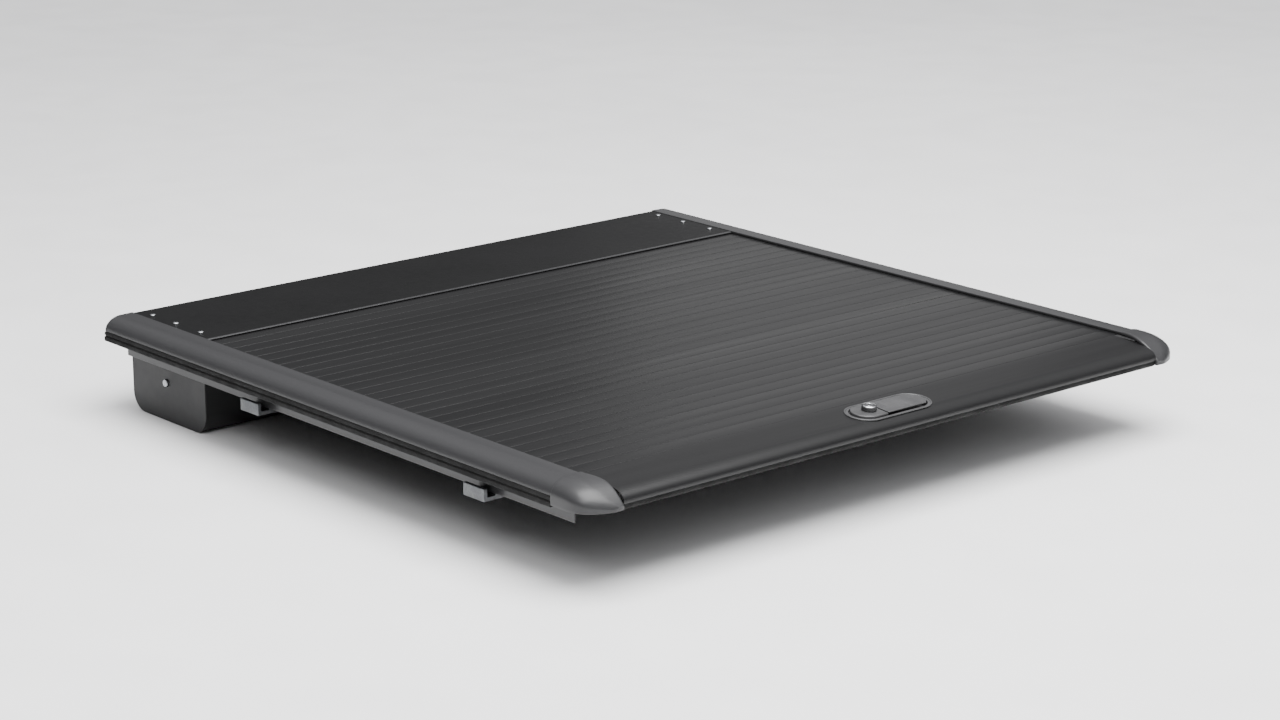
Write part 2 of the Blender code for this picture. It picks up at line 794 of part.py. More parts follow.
def make_crank(material):
    """A rocker below the dish with a pin for each rod, on a stud that turns with it."""
    low, high = 0.0160, 0.0178
    radius = 0.0045
    left = Vector(crank_pin(-1))
    right = Vector(crank_pin(1))
    heading = math.degrees(math.atan2(left.y - right.y, left.x - right.x))
    outline = arc(left, radius, heading - 90, heading + 90, 5)
    outline += arc(right, radius, heading + 90, heading + 270, 5)
    crank = prism("latch_crank", outline, "Z", low, high, material)
    studs = {
        "left_pin": (left, 0.0018, ROD_LOW_Z + 0.0020),
        "right_pin": (right, 0.0018, ROD_LOW_Z + 0.0020),
        "stud": (Vector((0.0, CRANK_Y)), 0.0030, 0.0240),
    }
    for label, (centre, stud_radius, top) in studs.items():
        profile = ((stud_radius, low + 0.0009), (stud_radius, top))
        combine(crank, turned(f"crank_{label}", profile, "Z", centre, 12, None), "UNION")
    return crank


def make_latch_bolt(label, side, material):
    """A flat rod that runs low under the dish and high along the bar, with a round bolt on its end."""
    half = ROD_THICKNESS / 2
    middle = rod_centre_y(side)
    pin_x = crank_pin(side)[0]
    inner_end = pin_x - side * 0.0060
    centre_line = (
        (inner_end, ROD_LOW_Z),
        (side * 0.1000, ROD_LOW_Z),
        (side * 0.1170, ROD_HIGH_Z),
        (side * 0.6200, ROD_HIGH_Z),
    )
    outline = [(x, z - half) for x, z in centre_line] + [(x, z + half) for x, z in reversed(centre_line)]
    name = f"latch_bolt_{label}"
    rod = prism(name, outline, "Y", middle - ROD_WIDTH / 2, middle + ROD_WIDTH / 2, material)
    profile = (
        (BOLT_RADIUS, side * 0.6000),
        (BOLT_RADIUS, side * (BOLT_TIP_X - 0.0015)),
        (BOLT_RADIUS - 0.0012, side * BOLT_TIP_X),
    )
    bolt = turned(f"{name}_end", profile, "X", (middle, ROD_HIGH_Z), 16, None)
    combine(rod, bolt, "UNION")
    slot = box(
        f"{name}_slot",
        (pin_x - 0.0023, middle - 0.0034, ROD_LOW_Z - 0.005),
        (pin_x + 0.0023, middle + 0.0034, ROD_LOW_Z + 0.005),
    )
    combine(rod, slot, "DIFFERENCE")
    return rod


# Canister


def trough_wall(inset, rear_top, front_top):
    """One side of the trough's folded sheet, from the rear wall's top round to the front wall's top."""
    rear = TROUGH_REAR_Y + inset
    front = TROUGH_FRONT_Y - inset
    bottom = TROUGH_BOTTOM_Z + inset
    radius = TROUGH_CORNER - inset
    return [
        (rear, rear_top),
        *arc((rear + radius, bottom + radius), radius, 180, 270, 4),
        *arc((front - radius, bottom + radius), radius, 270, 360, 4),
        (front, front_top),
    ]


def make_trough(material):
    front_top = FLANGE_BOTTOM_Z - 0.0006
    outer = trough_wall(0.0, TROUGH_REAR_TOP_Z, front_top)
    inner = trough_wall(SHEET, TROUGH_REAR_TOP_Z, front_top)
    outline = outer + inner[::-1]
    return prism("canister_trough", outline, "X", -TROUGH_HALF_LENGTH, TROUGH_HALF_LENGTH, material)


def screw_holes(target, side, low, high):
    for i, y in enumerate(LID_SCREW_YS, start=1):
        hole = turned(
            f"{target.name}_screw_hole_{side}_{i}",
            ((0.0029, low), (0.0029, high)),
            "Z",
            (side * LID_SCREW_X, y),
            12,
            None,
        )
        combine(target, hole, "DIFFERENCE")


def make_end_plate(label, side, material):
    """The plate that closes the trough's end, carries the axle and holds the lid's screws in its flange."""
    outline = trough_wall(0.0, FLANGE_TOP_Z, FLANGE_TOP_Z)
    x0, x1 = sorted((side * END_PLATE_X, side * (END_PLATE_X + SHEET)))
    plate = prism(f"canister_end_{label}", outline, "X", x0, x1, material)
    flange = side_box(
        f"canister_flange_{label}",
        side,
        (FLANGE_INNER_X, 1.2620, FLANGE_BOTTOM_Z),
        (END_PLATE_X + SHEET / 2, TROUGH_FRONT_Y - SHEET - GAP, FLANGE_TOP_Z - 0.0001),
    )
    combine(plate, flange, "UNION")
    axle_hole = turned(
        f"canister_axle_hole_{label}",
        ((AXLE_RADIUS + 0.0004, side * 0.700), (AXLE_RADIUS + 0.0004, side * 0.720)),
        "X",
        (DRUM_Y, DRUM_Z),
        20,
        None,
    )
    combine(plate, axle_hole, "DIFFERENCE")
    screw_holes(plate, side, 0.0400, 0.0500)
    return plate


def make_lid(material):
    under = LID_TOP_Z - SHEET
    front = COVER_FRONT_Y + 0.0005
    outline = [
        (MOUTH_Y, under),
        (front - SHEET - 0.0010, under),
        (front - SHEET, under - 0.0010),
        (front - SHEET, LID_FRONT_Z),
        (front, LID_FRONT_Z),
        *arc((front - 0.0030, LID_TOP_Z - 0.0030), 0.0030, 0, 90, 4),
        (MOUTH_Y + 0.0010, LID_TOP_Z),
        (MOUTH_Y, LID_TOP_Z - 0.0010),
    ]
    lid = prism("canister_lid", outline, "X", -LID_HALF_WIDTH, LID_HALF_WIDTH, material)
    for side in SIDES.values():
        screw_holes(lid, side, 0.0400, 0.0500)
    return lid


def make_lid_screws(material):
    seat = LID_TOP_Z + GAP
    profile = (
        (0.0025, FLANGE_BOTTOM_Z + 0.0001),
        (0.0025, seat),
        (0.0060, seat),
        (0.0060, seat + 0.0008),
        (0.0045, seat + 0.0022),
        (0.0022, seat + 0.0026),
        (0.0020, seat + 0.0012),
    )
    screws = []
    for label, side in SIDES.items():
        for i, y in enumerate(LID_SCREW_YS, start=1):
            name = f"lid_screw_{label}_{i}"
            screws.append(turned(name, profile, "Z", (side * LID_SCREW_X, y), 12, material))
    return screws


def make_canister_seals(material):
    """The brush under the lid's rear edge, and the rubber strip that meets the cab's bulkhead."""
    brush = box(
        "mouth_brush_seal",
        (-LID_HALF_WIDTH + 0.001, MOUTH_Y + 0.0020, CURTAIN_Z + GAP),
        (LID_HALF_WIDTH - 0.001, MOUTH_Y + 0.0080, LID_TOP_Z - SHEET - GAP),
        material,
    )
    rear = COVER_FRONT_Y + 0.0005 + GAP
    outline = [
        (rear, 0.0290),
        *arc((rear + 0.0030, 0.0360), 0.0065, -70, 70, 6),
        (rear, 0.0430),
    ]
    strip = prism("bulkhead_seal", outline, "X", -LID_HALF_WIDTH, LID_HALF_WIDTH, material)
    return brush, strip


# Roller


def make_axle(material):
    profile = (
        (AXLE_RADIUS - 0.001, -AXLE_HALF_LENGTH),
        (AXLE_RADIUS, -AXLE_HALF_LENGTH + 0.001),
        (AXLE_RADIUS, AXLE_HALF_LENGTH - 0.001),
        (AXLE_RADIUS - 0.001, AXLE_HALF_LENGTH),
    )
    return turned("drum_axle", profile, "X", (DRUM_Y, DRUM_Z), 16, material)


def make_roller(tube_material, bush_material):
    centre = (DRUM_Y, DRUM_Z)
    half = DRUM_HALF_LENGTH
    tube = sleeve("drum_tube", DRUM_RADIUS, DRUM_BORE, -half, half, "X", centre, 24, tube_material)
    pieces = [tube]
    for label, side in SIDES.items():
        low, high = sorted((side * (DRUM_HALF_LENGTH - 0.030), side * (DRUM_HALF_LENGTH - 0.002)))
        pieces.append(
            sleeve(
                f"drum_bush_{label}",
                DRUM_BORE - 0.0005,
                AXLE_RADIUS + 0.0004,
                low,
                high,
                "X",
                centre,
                24,
                bush_material,
            )
        )
    for piece in pieces:
        set_origin(piece, (0.0, DRUM_Y, DRUM_Z))
    return pieces


def make_torsion_spring(material, turns=11, steps_per_turn=10):
    """The counterbalance spring, a wire coiled round the axle inside the drum."""
    start_x = -0.600
    pitch = 0.018
    radius = 0.0150
    curve = bpy.data.curves.new("torsion_spring", "CURVE")
    curve.dimensions = "3D"
    curve.bevel_depth = 0.0016
    curve.bevel_resolution = 1
    curve.use_fill_caps = True
    spline = curve.splines.new("POLY")
    count = turns * steps_per_turn
    spline.points.add(count)
    for i in range(count + 1):
        angle = 2 * math.pi * i / steps_per_turn
        x = start_x + pitch * i / steps_per_turn
        point = (x, DRUM_Y + radius * math.cos(angle), DRUM_Z + radius * math.sin(angle))
        spline.points[i].co = (*point, 1.0)
    curve.materials.append(material)
    spring = bpy.data.objects.new("torsion_spring", curve)
    bpy.context.scene.collection.objects.link(spring)
    return spring


def build():
    clear_scene()
    coat = new_material("black_powder_coat", (0.020, 0.020, 0.022), 0.42, 0.0)
    lid_coat = new_material("lid_powder_coat", (0.016, 0.016, 0.017), 0.45, 0.0)
    rail_coat = new_material("rail_powder_coat", (0.024, 0.024, 0.026), 0.38, 0.0)
    slat_coat = new_material("slat_powder_coat", (0.022, 0.022, 0.024), 0.45, 0.0)
    plastic = new_material("black_plastic", (0.015, 0.015, 0.015), 0.55, 0.0)
    handle_plastic = new_material("handle_plastic", (0.050, 0.050, 0.053), 0.35, 0.0)
    rubber = new_material("black_rubber", (0.010, 0.010, 0.010), 0.80, 0.0)
    zinc = new_material("zinc_plate", (0.55, 0.56, 0.57), 0.35, 1.0)
    chrome = new_material("chrome", (0.75, 0.76, 0.78), 0.12, 1.0)
    aluminium = new_material("mill_aluminium", (0.60, 0.61, 0.62), 0.40, 1.0)
    spring_steel = new_material("spring_steel", (0.25, 0.25, 0.26), 0.40, 1.0)

    for label, side in SIDES.items():
        make_rail(label, side, rail_coat)
        make_rail_seal(label, side, rubber)
        make_corner_cap(label, side, rail_coat)
        make_striker(label, side, coat)
        for where, y in CLAMP_YS.items():
            make_clamp(label, side, where, y, aluminium, zinc)
        make_end_plate(label, side, coat)
    make_trough(coat)
    make_lid(lid_coat)
    make_lid_screws(zinc)
    make_canister_seals(rubber)
    make_axle(zinc)
    make_torsion_spring(spring_steel)
    make_roller(aluminium, plastic)

    slats = make_slats(slat_coat)
    bar = make_rear_bar(coat)
    seal = make_bar_seal(rubber)
    guides = [make_bar_guide(label, side, plastic) for label, side in SIDES.items()]
    make_bezel(handle_plastic)
    make_paddle(handle_plastic)
    make_pin(zinc)
    make_lock(chrome, zinc)
    crank = make_crank(zinc)
    group("crank_axis", (0.0, CRANK_Y, 0.0), [crank])
    for label, side in SIDES.items():
        bolt = make_latch_bolt(label, side, zinc)
        group(f"bolt_axis_{label}", (side * BOLT_TIP_X, rod_centre_y(side), ROD_HIGH_Z), [bolt])
    group("curtain_axis", (0.0, 0.0, CURTAIN_Z), [bar, seal, *guides, *slats[:NODES_PER_PANEL]])
    for first in range(NODES_PER_PANEL, SLAT_NODES, NODES_PER_PANEL):
        start = BAR_FRONT_Y + first * SLATS_PER_NODE * SLAT_PITCH
        name = f"panel_axis_{first // NODES_PER_PANEL + 1}"
        group(name, (0.0, start, CURTAIN_Z), slats[first : first + NODES_PER_PANEL])


build()
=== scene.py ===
"""Looks for the roller tonneau cover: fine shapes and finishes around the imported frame, in metres."""

import json
import math

import bmesh
import bpy
from mathutils import Matrix, Vector, noise


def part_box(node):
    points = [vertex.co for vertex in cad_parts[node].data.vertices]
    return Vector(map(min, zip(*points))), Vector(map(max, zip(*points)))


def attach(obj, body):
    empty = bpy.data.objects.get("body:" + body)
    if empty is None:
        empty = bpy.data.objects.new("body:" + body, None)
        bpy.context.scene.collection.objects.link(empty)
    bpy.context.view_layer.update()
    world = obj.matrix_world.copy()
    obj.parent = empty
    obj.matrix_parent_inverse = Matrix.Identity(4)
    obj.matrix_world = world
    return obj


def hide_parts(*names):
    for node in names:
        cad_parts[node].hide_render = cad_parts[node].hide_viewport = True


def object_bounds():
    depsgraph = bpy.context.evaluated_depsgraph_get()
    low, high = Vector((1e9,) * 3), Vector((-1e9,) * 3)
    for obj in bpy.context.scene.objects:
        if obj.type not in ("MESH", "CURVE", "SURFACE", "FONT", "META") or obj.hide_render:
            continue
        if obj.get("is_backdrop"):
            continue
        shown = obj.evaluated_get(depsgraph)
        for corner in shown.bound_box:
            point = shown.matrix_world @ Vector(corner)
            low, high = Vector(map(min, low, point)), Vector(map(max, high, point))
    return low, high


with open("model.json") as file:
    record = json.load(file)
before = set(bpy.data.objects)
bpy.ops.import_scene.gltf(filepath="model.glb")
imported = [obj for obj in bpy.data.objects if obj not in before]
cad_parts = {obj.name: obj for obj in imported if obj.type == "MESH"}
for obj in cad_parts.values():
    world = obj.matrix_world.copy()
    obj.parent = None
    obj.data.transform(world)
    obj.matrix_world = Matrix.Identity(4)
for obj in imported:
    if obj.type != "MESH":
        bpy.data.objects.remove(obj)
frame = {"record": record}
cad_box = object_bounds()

BODY_OF = {node: body for body, nodes in frame["record"]["behaviour"]["bodies"].items() for node in nodes}
SIDES = {"left": -1, "right": 1}

# Side rail section
RAIL_INNER_X = 0.6995
RAIL_CROWN_X = 0.7265
RAIL_OUTER_X = 0.7650
CREST_Z = 0.0484
CROWN_Z = 0.0479
SKIRT_Z = 0.0200
LIP_Z = 0.0434
CHANNEL_FLOOR_Z = 0.0300
FLOOR_INNER_X = 0.6900
WEB_X = 0.7115
WEB_BOTTOM_Z = -0.0400
FOOT_X = 0.7545
WALL = 0.0030

# Curtain
CURTAIN_Z = 0.0427
SLAT_SKIN = 0.0022
SLAT_GAP = 0.0003
SLAT_EDGE = 0.0009
GROOVE_HALF_WIDTH = 0.0011
GROOVE_DEPTH = 0.0010
KNUCKLE_DROP = 0.0060
KNUCKLE_OFFSET = 0.0046
KNUCKLE_RADIUS = 0.0040
SOCKET_RADIUS = 0.0026
SOCKET_MOUTH = 0.0009
BEAD_RADIUS = 0.0021
NECK_HALF = 0.0005
GLIDE_LENGTH = 0.0070

# Rear bar and handle
BAR_BREAK_Y = 0.1000
BAR_NOSE_Y = 0.0300
BAR_NOSE_Z = 0.0368
BAR_TIP_Z = 0.0170
BAR_WALL = 0.0025
BAR_SLOPE = math.atan2(CURTAIN_Z - BAR_NOSE_Z, BAR_BREAK_Y - BAR_NOSE_Y)
CRANK_Y = 0.0780
BOLT_RADIUS = 0.0030
ROD_LOW_Z = 0.0195
ROD_HIGH_Z = 0.0335
HANDLE_Y = 0.0560
BEZEL_LENGTH = 0.1980
BEZEL_WIDTH = 0.0780
BEZEL_RIM_W = 0.0022
BEZEL_FLANGE_W = 0.0010
DISH_LENGTH = 0.1840
DISH_WIDTH = 0.0680
DISH_DEPTH = 0.0155
DISH_WALL = 0.0020
DISH_LEFT_U = -0.0295
PAD_LENGTH = 0.1740
PAD_WIDTH = 0.0600
PAD_TOP_W = 0.0048
GROOVE_W = -0.0040
PADDLE_LEFT_U = -0.0250
PADDLE_REAR_V = -0.0265
PADDLE_THICKNESS = 0.0025
HINGE_RIGHT_U = 0.0560
BARREL_RADIUS = 0.0034
PIN_V = 0.0280
PIN_W = -0.0050
PIN_RADIUS = 0.0015
PIN_LEFT_U = -0.0380
PIN_RIGHT_U = 0.0735
LOCK_U = -0.0500
LOCK_RADIUS = 0.0115
LOCK_HEAD_RADIUS = 0.0142
LOCK_TOP_W = 0.0152

# Canister
SHEET = 0.0020
TROUGH_CORNER = 0.0400
END_PLATE_X = 0.7086
DRUM_AXIS = (1.3850, -0.0700)
AXLE_RADIUS = 0.0080

# Fasteners
CLAMP_YS = (0.350, 1.050)
CLAMP_BOLT_X = 0.7005
CLAMP_HOLE_RADIUS = 0.0044
JAW_TOOTH_Z = -0.0280
JAW_TOP_Z = -0.0440
LID_SCREW_X = 0.6800
LID_SCREW_YS = (1.300, 1.390, 1.475)


# Finishes

EVENLY = (1.0, 1.0, 1.0)
ALONG_X = (0.02, 1.0, 1.0)
ALONG_Y = (1.0, 0.02, 1.0)


def feed(node, inputs):
    """Sets a node's inputs, by name or number, to plain values or to other nodes' outputs."""
    for socket, value in inputs.items():
        if isinstance(value, bpy.types.NodeSocket):
            node.id_data.links.new(value, node.inputs[socket])
        else:
            node.inputs[socket].default_value = value


def add_node(tree, kind, inputs, **settings):
    node = tree.nodes.new(kind)
    for setting, value in settings.items():
        setattr(node, setting, value)
    feed(node, inputs)
    return node


class Finish:
    """A Principled material and short calls that add nodes to it, textured in the object's own metres."""

    def __init__(self, name, **inputs):
        self.material = bpy.data.materials.new(name)
        self.material.use_nodes = True
        self.tree = self.material.node_tree
        self.shader = self.tree.nodes["Principled BSDF"]
        feed(self.shader, inputs)
        self.place = self.node("ShaderNodeTexCoord", {}).outputs["Object"]

    def node(self, kind, inputs, **settings):
        return add_node(self.tree, kind, inputs, **settings)

    def noise(self, per_metre, detail=2.0, stretch=EVENLY):
        mapping = self.node("ShaderNodeMapping", {"Vector": self.place, "Scale": stretch})
        inputs = {"Vector": mapping.outputs["Vector"], "Scale": per_metre, "Detail": detail}
        return self.node("ShaderNodeTexNoise", inputs).outputs["Fac"]

    def pebbles(self, per_metre):
        inputs = {"Vector": self.place, "Scale": per_metre}
        return self.node("ShaderNodeTexVoronoi", inputs, feature="SMOOTH_F1").outputs["Distance"]

    def spread(self, value, low, high, start=0.35, end=0.65):
        """Maps the part of a value between start and end onto low to high."""
        inputs = {"Value": value, "From Min": start, "From Max": end, "To Min": low, "To Max": high}
        return self.node("ShaderNodeMapRange", inputs).outputs["Result"]

    def mixed(self, factor, first, second):
        return self.node("ShaderNodeMix", {0: factor, 6: first, 7: second}, data_type="RGBA").outputs[2]

    def added(self, first, second):
        return self.node("ShaderNodeMath", {0: first, 1: second}, operation="ADD").outputs[0]

    def bumps(self, *layers):
        """Stacks bump layers of (height, strength, distance in metres)."""
        normal = {}
        for height, strength, distance in layers:
            inputs = {"Height": height, "Strength": strength, "Distance": distance}
            bump = self.node("ShaderNodeBump", inputs | normal)
            normal = {"Normal": bump.outputs["Normal"]}
        feed(self.shader, normal)

    def colour(self, value):
        feed(self.shader, {"Base Color": value})

    def roughness(self, value):
        feed(self.shader, {"Roughness": value})


def grey(level, blue=0.0):
    return (level, level, level * (1.0 + blue), 1.0)


def powder_coat(name, level, roughness, sheen=0.35, pebble=900.0, depth=0.00012, streak=EVENLY):
    """Satin black powder coat: pebbled, with soft patches, faint wiping streaks and a little dust."""
    finish = Finish(name, **{"Specular IOR Level": sheen})
    patches = finish.noise(4.0, 4.0, streak)
    fine = finish.noise(60.0, 3.0, streak)
    base = finish.mixed(finish.spread(patches, 0.0, 1.0), grey(level * 0.90, 0.05), grey(level * 1.12, 0.05))
    base = finish.mixed(finish.spread(fine, 0.0, 0.35), base, grey(level * 1.35, 0.04))
    specks = finish.spread(finish.noise(1500.0, 1.0), 0.0, 0.45, 0.66, 0.80)
    finish.colour(finish.mixed(specks, base, grey(level * 3.0)))
    smudges = finish.spread(patches, roughness - 0.035, roughness + 0.045)
    finish.roughness(finish.added(smudges, finish.spread(fine, -0.02, 0.03)))
    finish.bumps((finish.pebbles(pebble), 0.25, depth), (finish.noise(35.0, 2.0), 0.10, 0.0004))
    return finish.material


def moulded_plastic(name, level, roughness, grain=1600.0):
    """Moulded plastic with a spark-eroded grain and slightly polished high spots."""
    finish = Finish(name)
    patches = finish.noise(25.0, 3.0)
    blend = finish.spread(patches, 0.0, 1.0)
    finish.colour(finish.mixed(blend, grey(level * 0.85, 0.03), grey(level * 1.2, 0.03)))
    finish.roughness(finish.spread(finish.noise(180.0, 3.0), roughness - 0.05, roughness + 0.07))
    finish.bumps((finish.noise(grain, 2.0), 0.30, 0.00010))
    return finish.material


def rubber(name):
    """Extruded rubber: matt, with faint lengthwise die lines and a dusty bloom."""
    finish = Finish(name, **{"Specular IOR Level": 0.20})
    bloom = finish.spread(finish.noise(9.0, 5.0), 0.0, 0.55, 0.45, 0.72)
    finish.colour(finish.mixed(bloom, grey(0.0045), grey(0.012)))
    finish.roughness(finish.spread(finish.noise(45.0, 3.0), 0.62, 0.82))
    die_lines = finish.noise(160.0, 1.0, (1.0, 0.02, 1.0))
    finish.bumps((finish.noise(1100.0, 2.0), 0.25, 0.0001), (die_lines, 0.2, 0.0002))
    return finish.material


def bristles(name):
    """Nylon bristles: black, with each one slightly lighter or darker."""
    finish = Finish(name)
    finish.colour(finish.mixed(finish.noise(900.0, 1.0, (1.0, 0.1, 0.1)), grey(0.004), grey(0.030)))
    finish.roughness(finish.spread(finish.noise(400.0, 1.0), 0.5, 0.75))
    return finish.material


def plated_metal(name, dark, light, low, high, streak=EVENLY, spangle=220.0):
    """Metal with a drawn grain along one way, soft patches and fine scratches."""
    finish = Finish(name, Metallic=1.0)
    patches = finish.noise(spangle * 0.1, 3.0)
    grain = finish.noise(spangle, 3.0, streak)
    base = finish.mixed(finish.spread(patches, 0.0, 1.0), dark, light)
    deep = (*(0.7 * channel for channel in dark[:3]), 1.0)
    finish.colour(finish.mixed(finish.spread(grain, 0.0, 0.35), base, deep))
    wear = finish.added(finish.spread(patches, 0.0, 0.4), grain)
    finish.roughness(finish.spread(wear, low, high, 0.4, 1.0))
    finish.bumps((finish.noise(spangle * 6.0, 2.0, streak), 0.15, 0.00006))
    return finish.material


def pale_floor(name):
    finish = Finish(name)
    finish.colour(finish.mixed(finish.noise(1.2, 3.0), grey(0.80), grey(0.86)))
    finish.roughness(finish.spread(finish.noise(6.0, 3.0), 0.55, 0.7))
    return finish.material


ZINC_DARK = (0.34, 0.35, 0.37, 1.0)
ZINC_LIGHT = (0.50, 0.51, 0.52, 1.0)
ALUMINIUM_DARK = (0.52, 0.53, 0.54, 1.0)
ALUMINIUM_LIGHT = (0.66, 0.67, 0.68, 1.0)
CAST_DARK = (0.12, 0.124, 0.13, 1.0)
CAST_LIGHT = (0.20, 0.205, 0.21, 1.0)
STEEL_DARK = (0.14, 0.14, 0.15, 1.0)
STEEL_LIGHT = (0.27, 0.27, 0.28, 1.0)
CHROME_DARK = (0.70, 0.71, 0.73, 1.0)
CHROME_LIGHT = (0.82, 0.83, 0.85, 1.0)

bar_coat = powder_coat("bar_powder_coat", 0.006, 0.38, 0.26, streak=ALONG_X)
tray_coat = powder_coat("tray_powder_coat", 0.012, 0.50)
lid_coat = powder_coat("lid_textured_coat", 0.004, 0.46, 0.15, pebble=650.0, depth=0.00030)
rail_coat = powder_coat("rail_powder_coat", 0.022, 0.33, 0.36, streak=ALONG_Y)
slat_coat = powder_coat("slat_powder_coat", 0.006, 0.32, 0.30, streak=ALONG_X)
black_plastic = moulded_plastic("black_nylon", 0.014, 0.50)
handle_plastic = moulded_plastic("handle_plastic", 0.042, 0.36)
seal_rubber = rubber("seal_rubber")
brush_nylon = bristles("brush_nylon")
zinc = plated_metal("bright_zinc", ZINC_DARK, ZINC_LIGHT, 0.24, 0.42)
zinc_rod = plated_metal("drawn_zinc", ZINC_DARK, ZINC_LIGHT, 0.28, 0.45, ALONG_X)
chrome = plated_metal("polished_chrome", CHROME_DARK, CHROME_LIGHT, 0.06, 0.16)
aluminium = plated_metal("mill_aluminium", ALUMINIUM_DARK, ALUMINIUM_LIGHT, 0.30, 0.48, ALONG_X)
jaw_metal = plated_metal("cast_aluminium", CAST_DARK, CAST_LIGHT, 0.46, 0.64)
spring_metal = plated_metal("oiled_spring_steel", STEEL_DARK, STEEL_LIGHT, 0.26, 0.40)


# Shapes


def arc(centre, radius, start, end, steps):
    """Points along an arc, with its angles in degrees."""
    points = []
    for i in range(steps + 1):
        angle = math.radians(start + (end - start) * i / steps)
        points.append((centre[0] + radius * math.cos(angle), centre[1] + radius * math.sin(angle)))
    return points


def bezier(points, steps):
    """Points along a cubic curve, from the first of four points to the last."""
    a, b, c, d = (Vector(point) for point in points)
    curve = []
    for i in range(steps + 1):
        t = i / steps
        s = 1 - t
        curve.append(tuple(a * s**3 + b * 3 * s * s * t + c * 3 * s * t * t + d * t**3))
    return curve


def rounded(outline, radius, steps=3, softest=20.0):
    """Rounds an outline's corners, as far as its edges leave room, and leaves its gentle bends."""
    points = []
    for i, corner in enumerate(outline):
        here = Vector(corner)
        back = Vector(outline[i - 1]) - here
        ahead = Vector(outline[(i + 1) % len(outline)]) - here
        bend = math.pi - back.angle(ahead)
        if math.degrees(bend) < softest:
            points.append(corner)
            continue
        reach = min(radius * math.tan(bend / 2), 0.45 * back.length, 0.45 * ahead.length)
        start = here + back.normalized() * reach
        end = here + ahead.normalized() * reach
        for step in range(steps + 1):
            t = step / steps
            points.append(tuple(start * (1 - t) ** 2 + here * 2 * t * (1 - t) + end * t * t))
    return points


def inset(outline, distance):
    """Moves an outline inwards by a small distance."""
    pairs = zip(outline, outline[1:] + outline[:1])
    turn = math.copysign(1.0, sum(a[0] * b[1] - b[0] * a[1] for a, b in pairs))
    moved = []
    for i, point in enumerate(outline):
        here = Vector(point)
        before = (here - Vector(outline[i - 1])).normalized()
        after = (Vector(outline[(i + 1) % len(outline)]) - here).normalized()
        inward = Vector((-before.y - after.y, before.x + after.x)) * turn / 2
        moved.append(tuple(here + inward * distance / max(0.25, inward.length_squared)))
    return moved


def rectangle(a0, b0, a1, b1):
    return [(a0, b0), (a1, b0), (a1, b1), (a0, b1)]


def on_axis(axis, along, a, b):
    point = [a, b]
    point.insert("XYZ".index(axis), along)
    return tuple(point)


def placed(name, data):
    """An object for a mesh, a light or a camera, put in the scene."""
    obj = bpy.data.objects.new(name, data)
    bpy.context.scene.collection.objects.link(obj)
    return obj


def meshed(name, bm, *materials):
    """Turns a bmesh into an object with these materials."""
    mesh = bpy.data.meshes.new(name)
    bm.to_mesh(mesh)
    bm.free()
    for material in materials:
        mesh.materials.append(material)
    return placed(name, mesh)


def made(name, bm, material):
    """Turns a bmesh into an object with a material, its faces pointing out."""
    bmesh.ops.remove_doubles(bm, verts=bm.verts, dist=1e-7)
    bmesh.ops.recalc_face_normals(bm, faces=bm.faces)
    return meshed(name, bm, material)


def skin(bm, loops, closed=False):
    """Skins loops of equal length, and caps the two ends or joins them into a ring."""
    rings = [[bm.verts.new(point) for point in loop] for loop in loops]
    following = rings[1:] + rings[:1] if closed else rings[1:]
    for near, far in zip(rings, following):
        for i in range(len(near)):
            j = (i + 1) % len(near)
            bm.faces.new((near[i], near[j], far[j], far[i]))
    if not closed:
        bm.faces.new(rings[0])
        bm.faces.new(rings[-1])


def loft(name, loops, material, closed=False):
    bm = bmesh.new()
    skin(bm, loops, closed)
    return made(name, bm, material)


def prism(name, outline, axis, low, high, material, chamfer=0.0003):
    """An outline, on the other two axes, extruded along one axis, with its end edges broken."""
    smaller = inset(outline, chamfer)
    sections = ((smaller, low), (outline, low + chamfer), (outline, high - chamfer), (smaller, high))
    loops = [[on_axis(axis, along, a, b) for a, b in points] for points, along in sections]
    return loft(name, loops, material)


def box_prism(name, low, high, material, radius=0.0006, axis="Z"):
    """A block with rounded edges along one axis."""
    along = "XYZ".index(axis)
    others = [i for i in range(3) if i != along]
    corners = rectangle(*(low[i] for i in others), *(high[i] for i in others))
    return prism(name, rounded(corners, radius), axis, low[along], high[along], material)


def ring(axis, centre, radius, along, sides):
    return [on_axis(axis, along, a, b) for a, b in arc(centre, radius, 0, 360, sides)[:-1]]


def turned(name, profile, axis, centre, material, sides=40):
    """A solid of revolution from (radius, distance along the axis) steps."""
    return loft(name, [ring(axis, centre, radius, along, sides) for radius, along in profile], material)


def pin_profile(radius, low, high, chamfer):
    """A plain pin's profile, with both ends chamfered."""
    tip = radius - chamfer
    return ((tip, low), (radius, low + chamfer), (radius, high - chamfer), (tip, high))


def bore(radius, low, high, axis, centre, sides=24):
    """A plain cylinder to cut with."""
    return turned("bore", ((radius, low), (radius, high)), axis, centre, zinc, sides)


def sleeve(name, outer, inner, low, high, axis, centre, material, sides=64, edge=0.0004):
    """A tube with open ends and broken edges."""
    sections = (
        (outer - edge, low),
        (outer, low + edge),
        (outer, high - edge),
        (outer - edge, high),
        (inner + edge, high),
        (inner, high - edge),
        (inner, low + edge),
        (inner + edge, low),
    )
    loops = [ring(axis, centre, radius, along, sides) for radius, along in sections]
    return loft(name, loops, material, closed=True)


def stadium(length, width, w, steps=20):
    """A loop with two straight sides and two round ends, about the origin, at height w."""
    radius = width / 2
    centre = length / 2 - radius
    right = arc((centre, 0.0), radius, -90, 90, steps)
    left = arc((-centre, 0.0), radius, 90, 270, steps)
    return [(u, v, w) for u, v in right + left]


def mirrored(outline, side):
    return [(side * a, b) for a, b in outline]


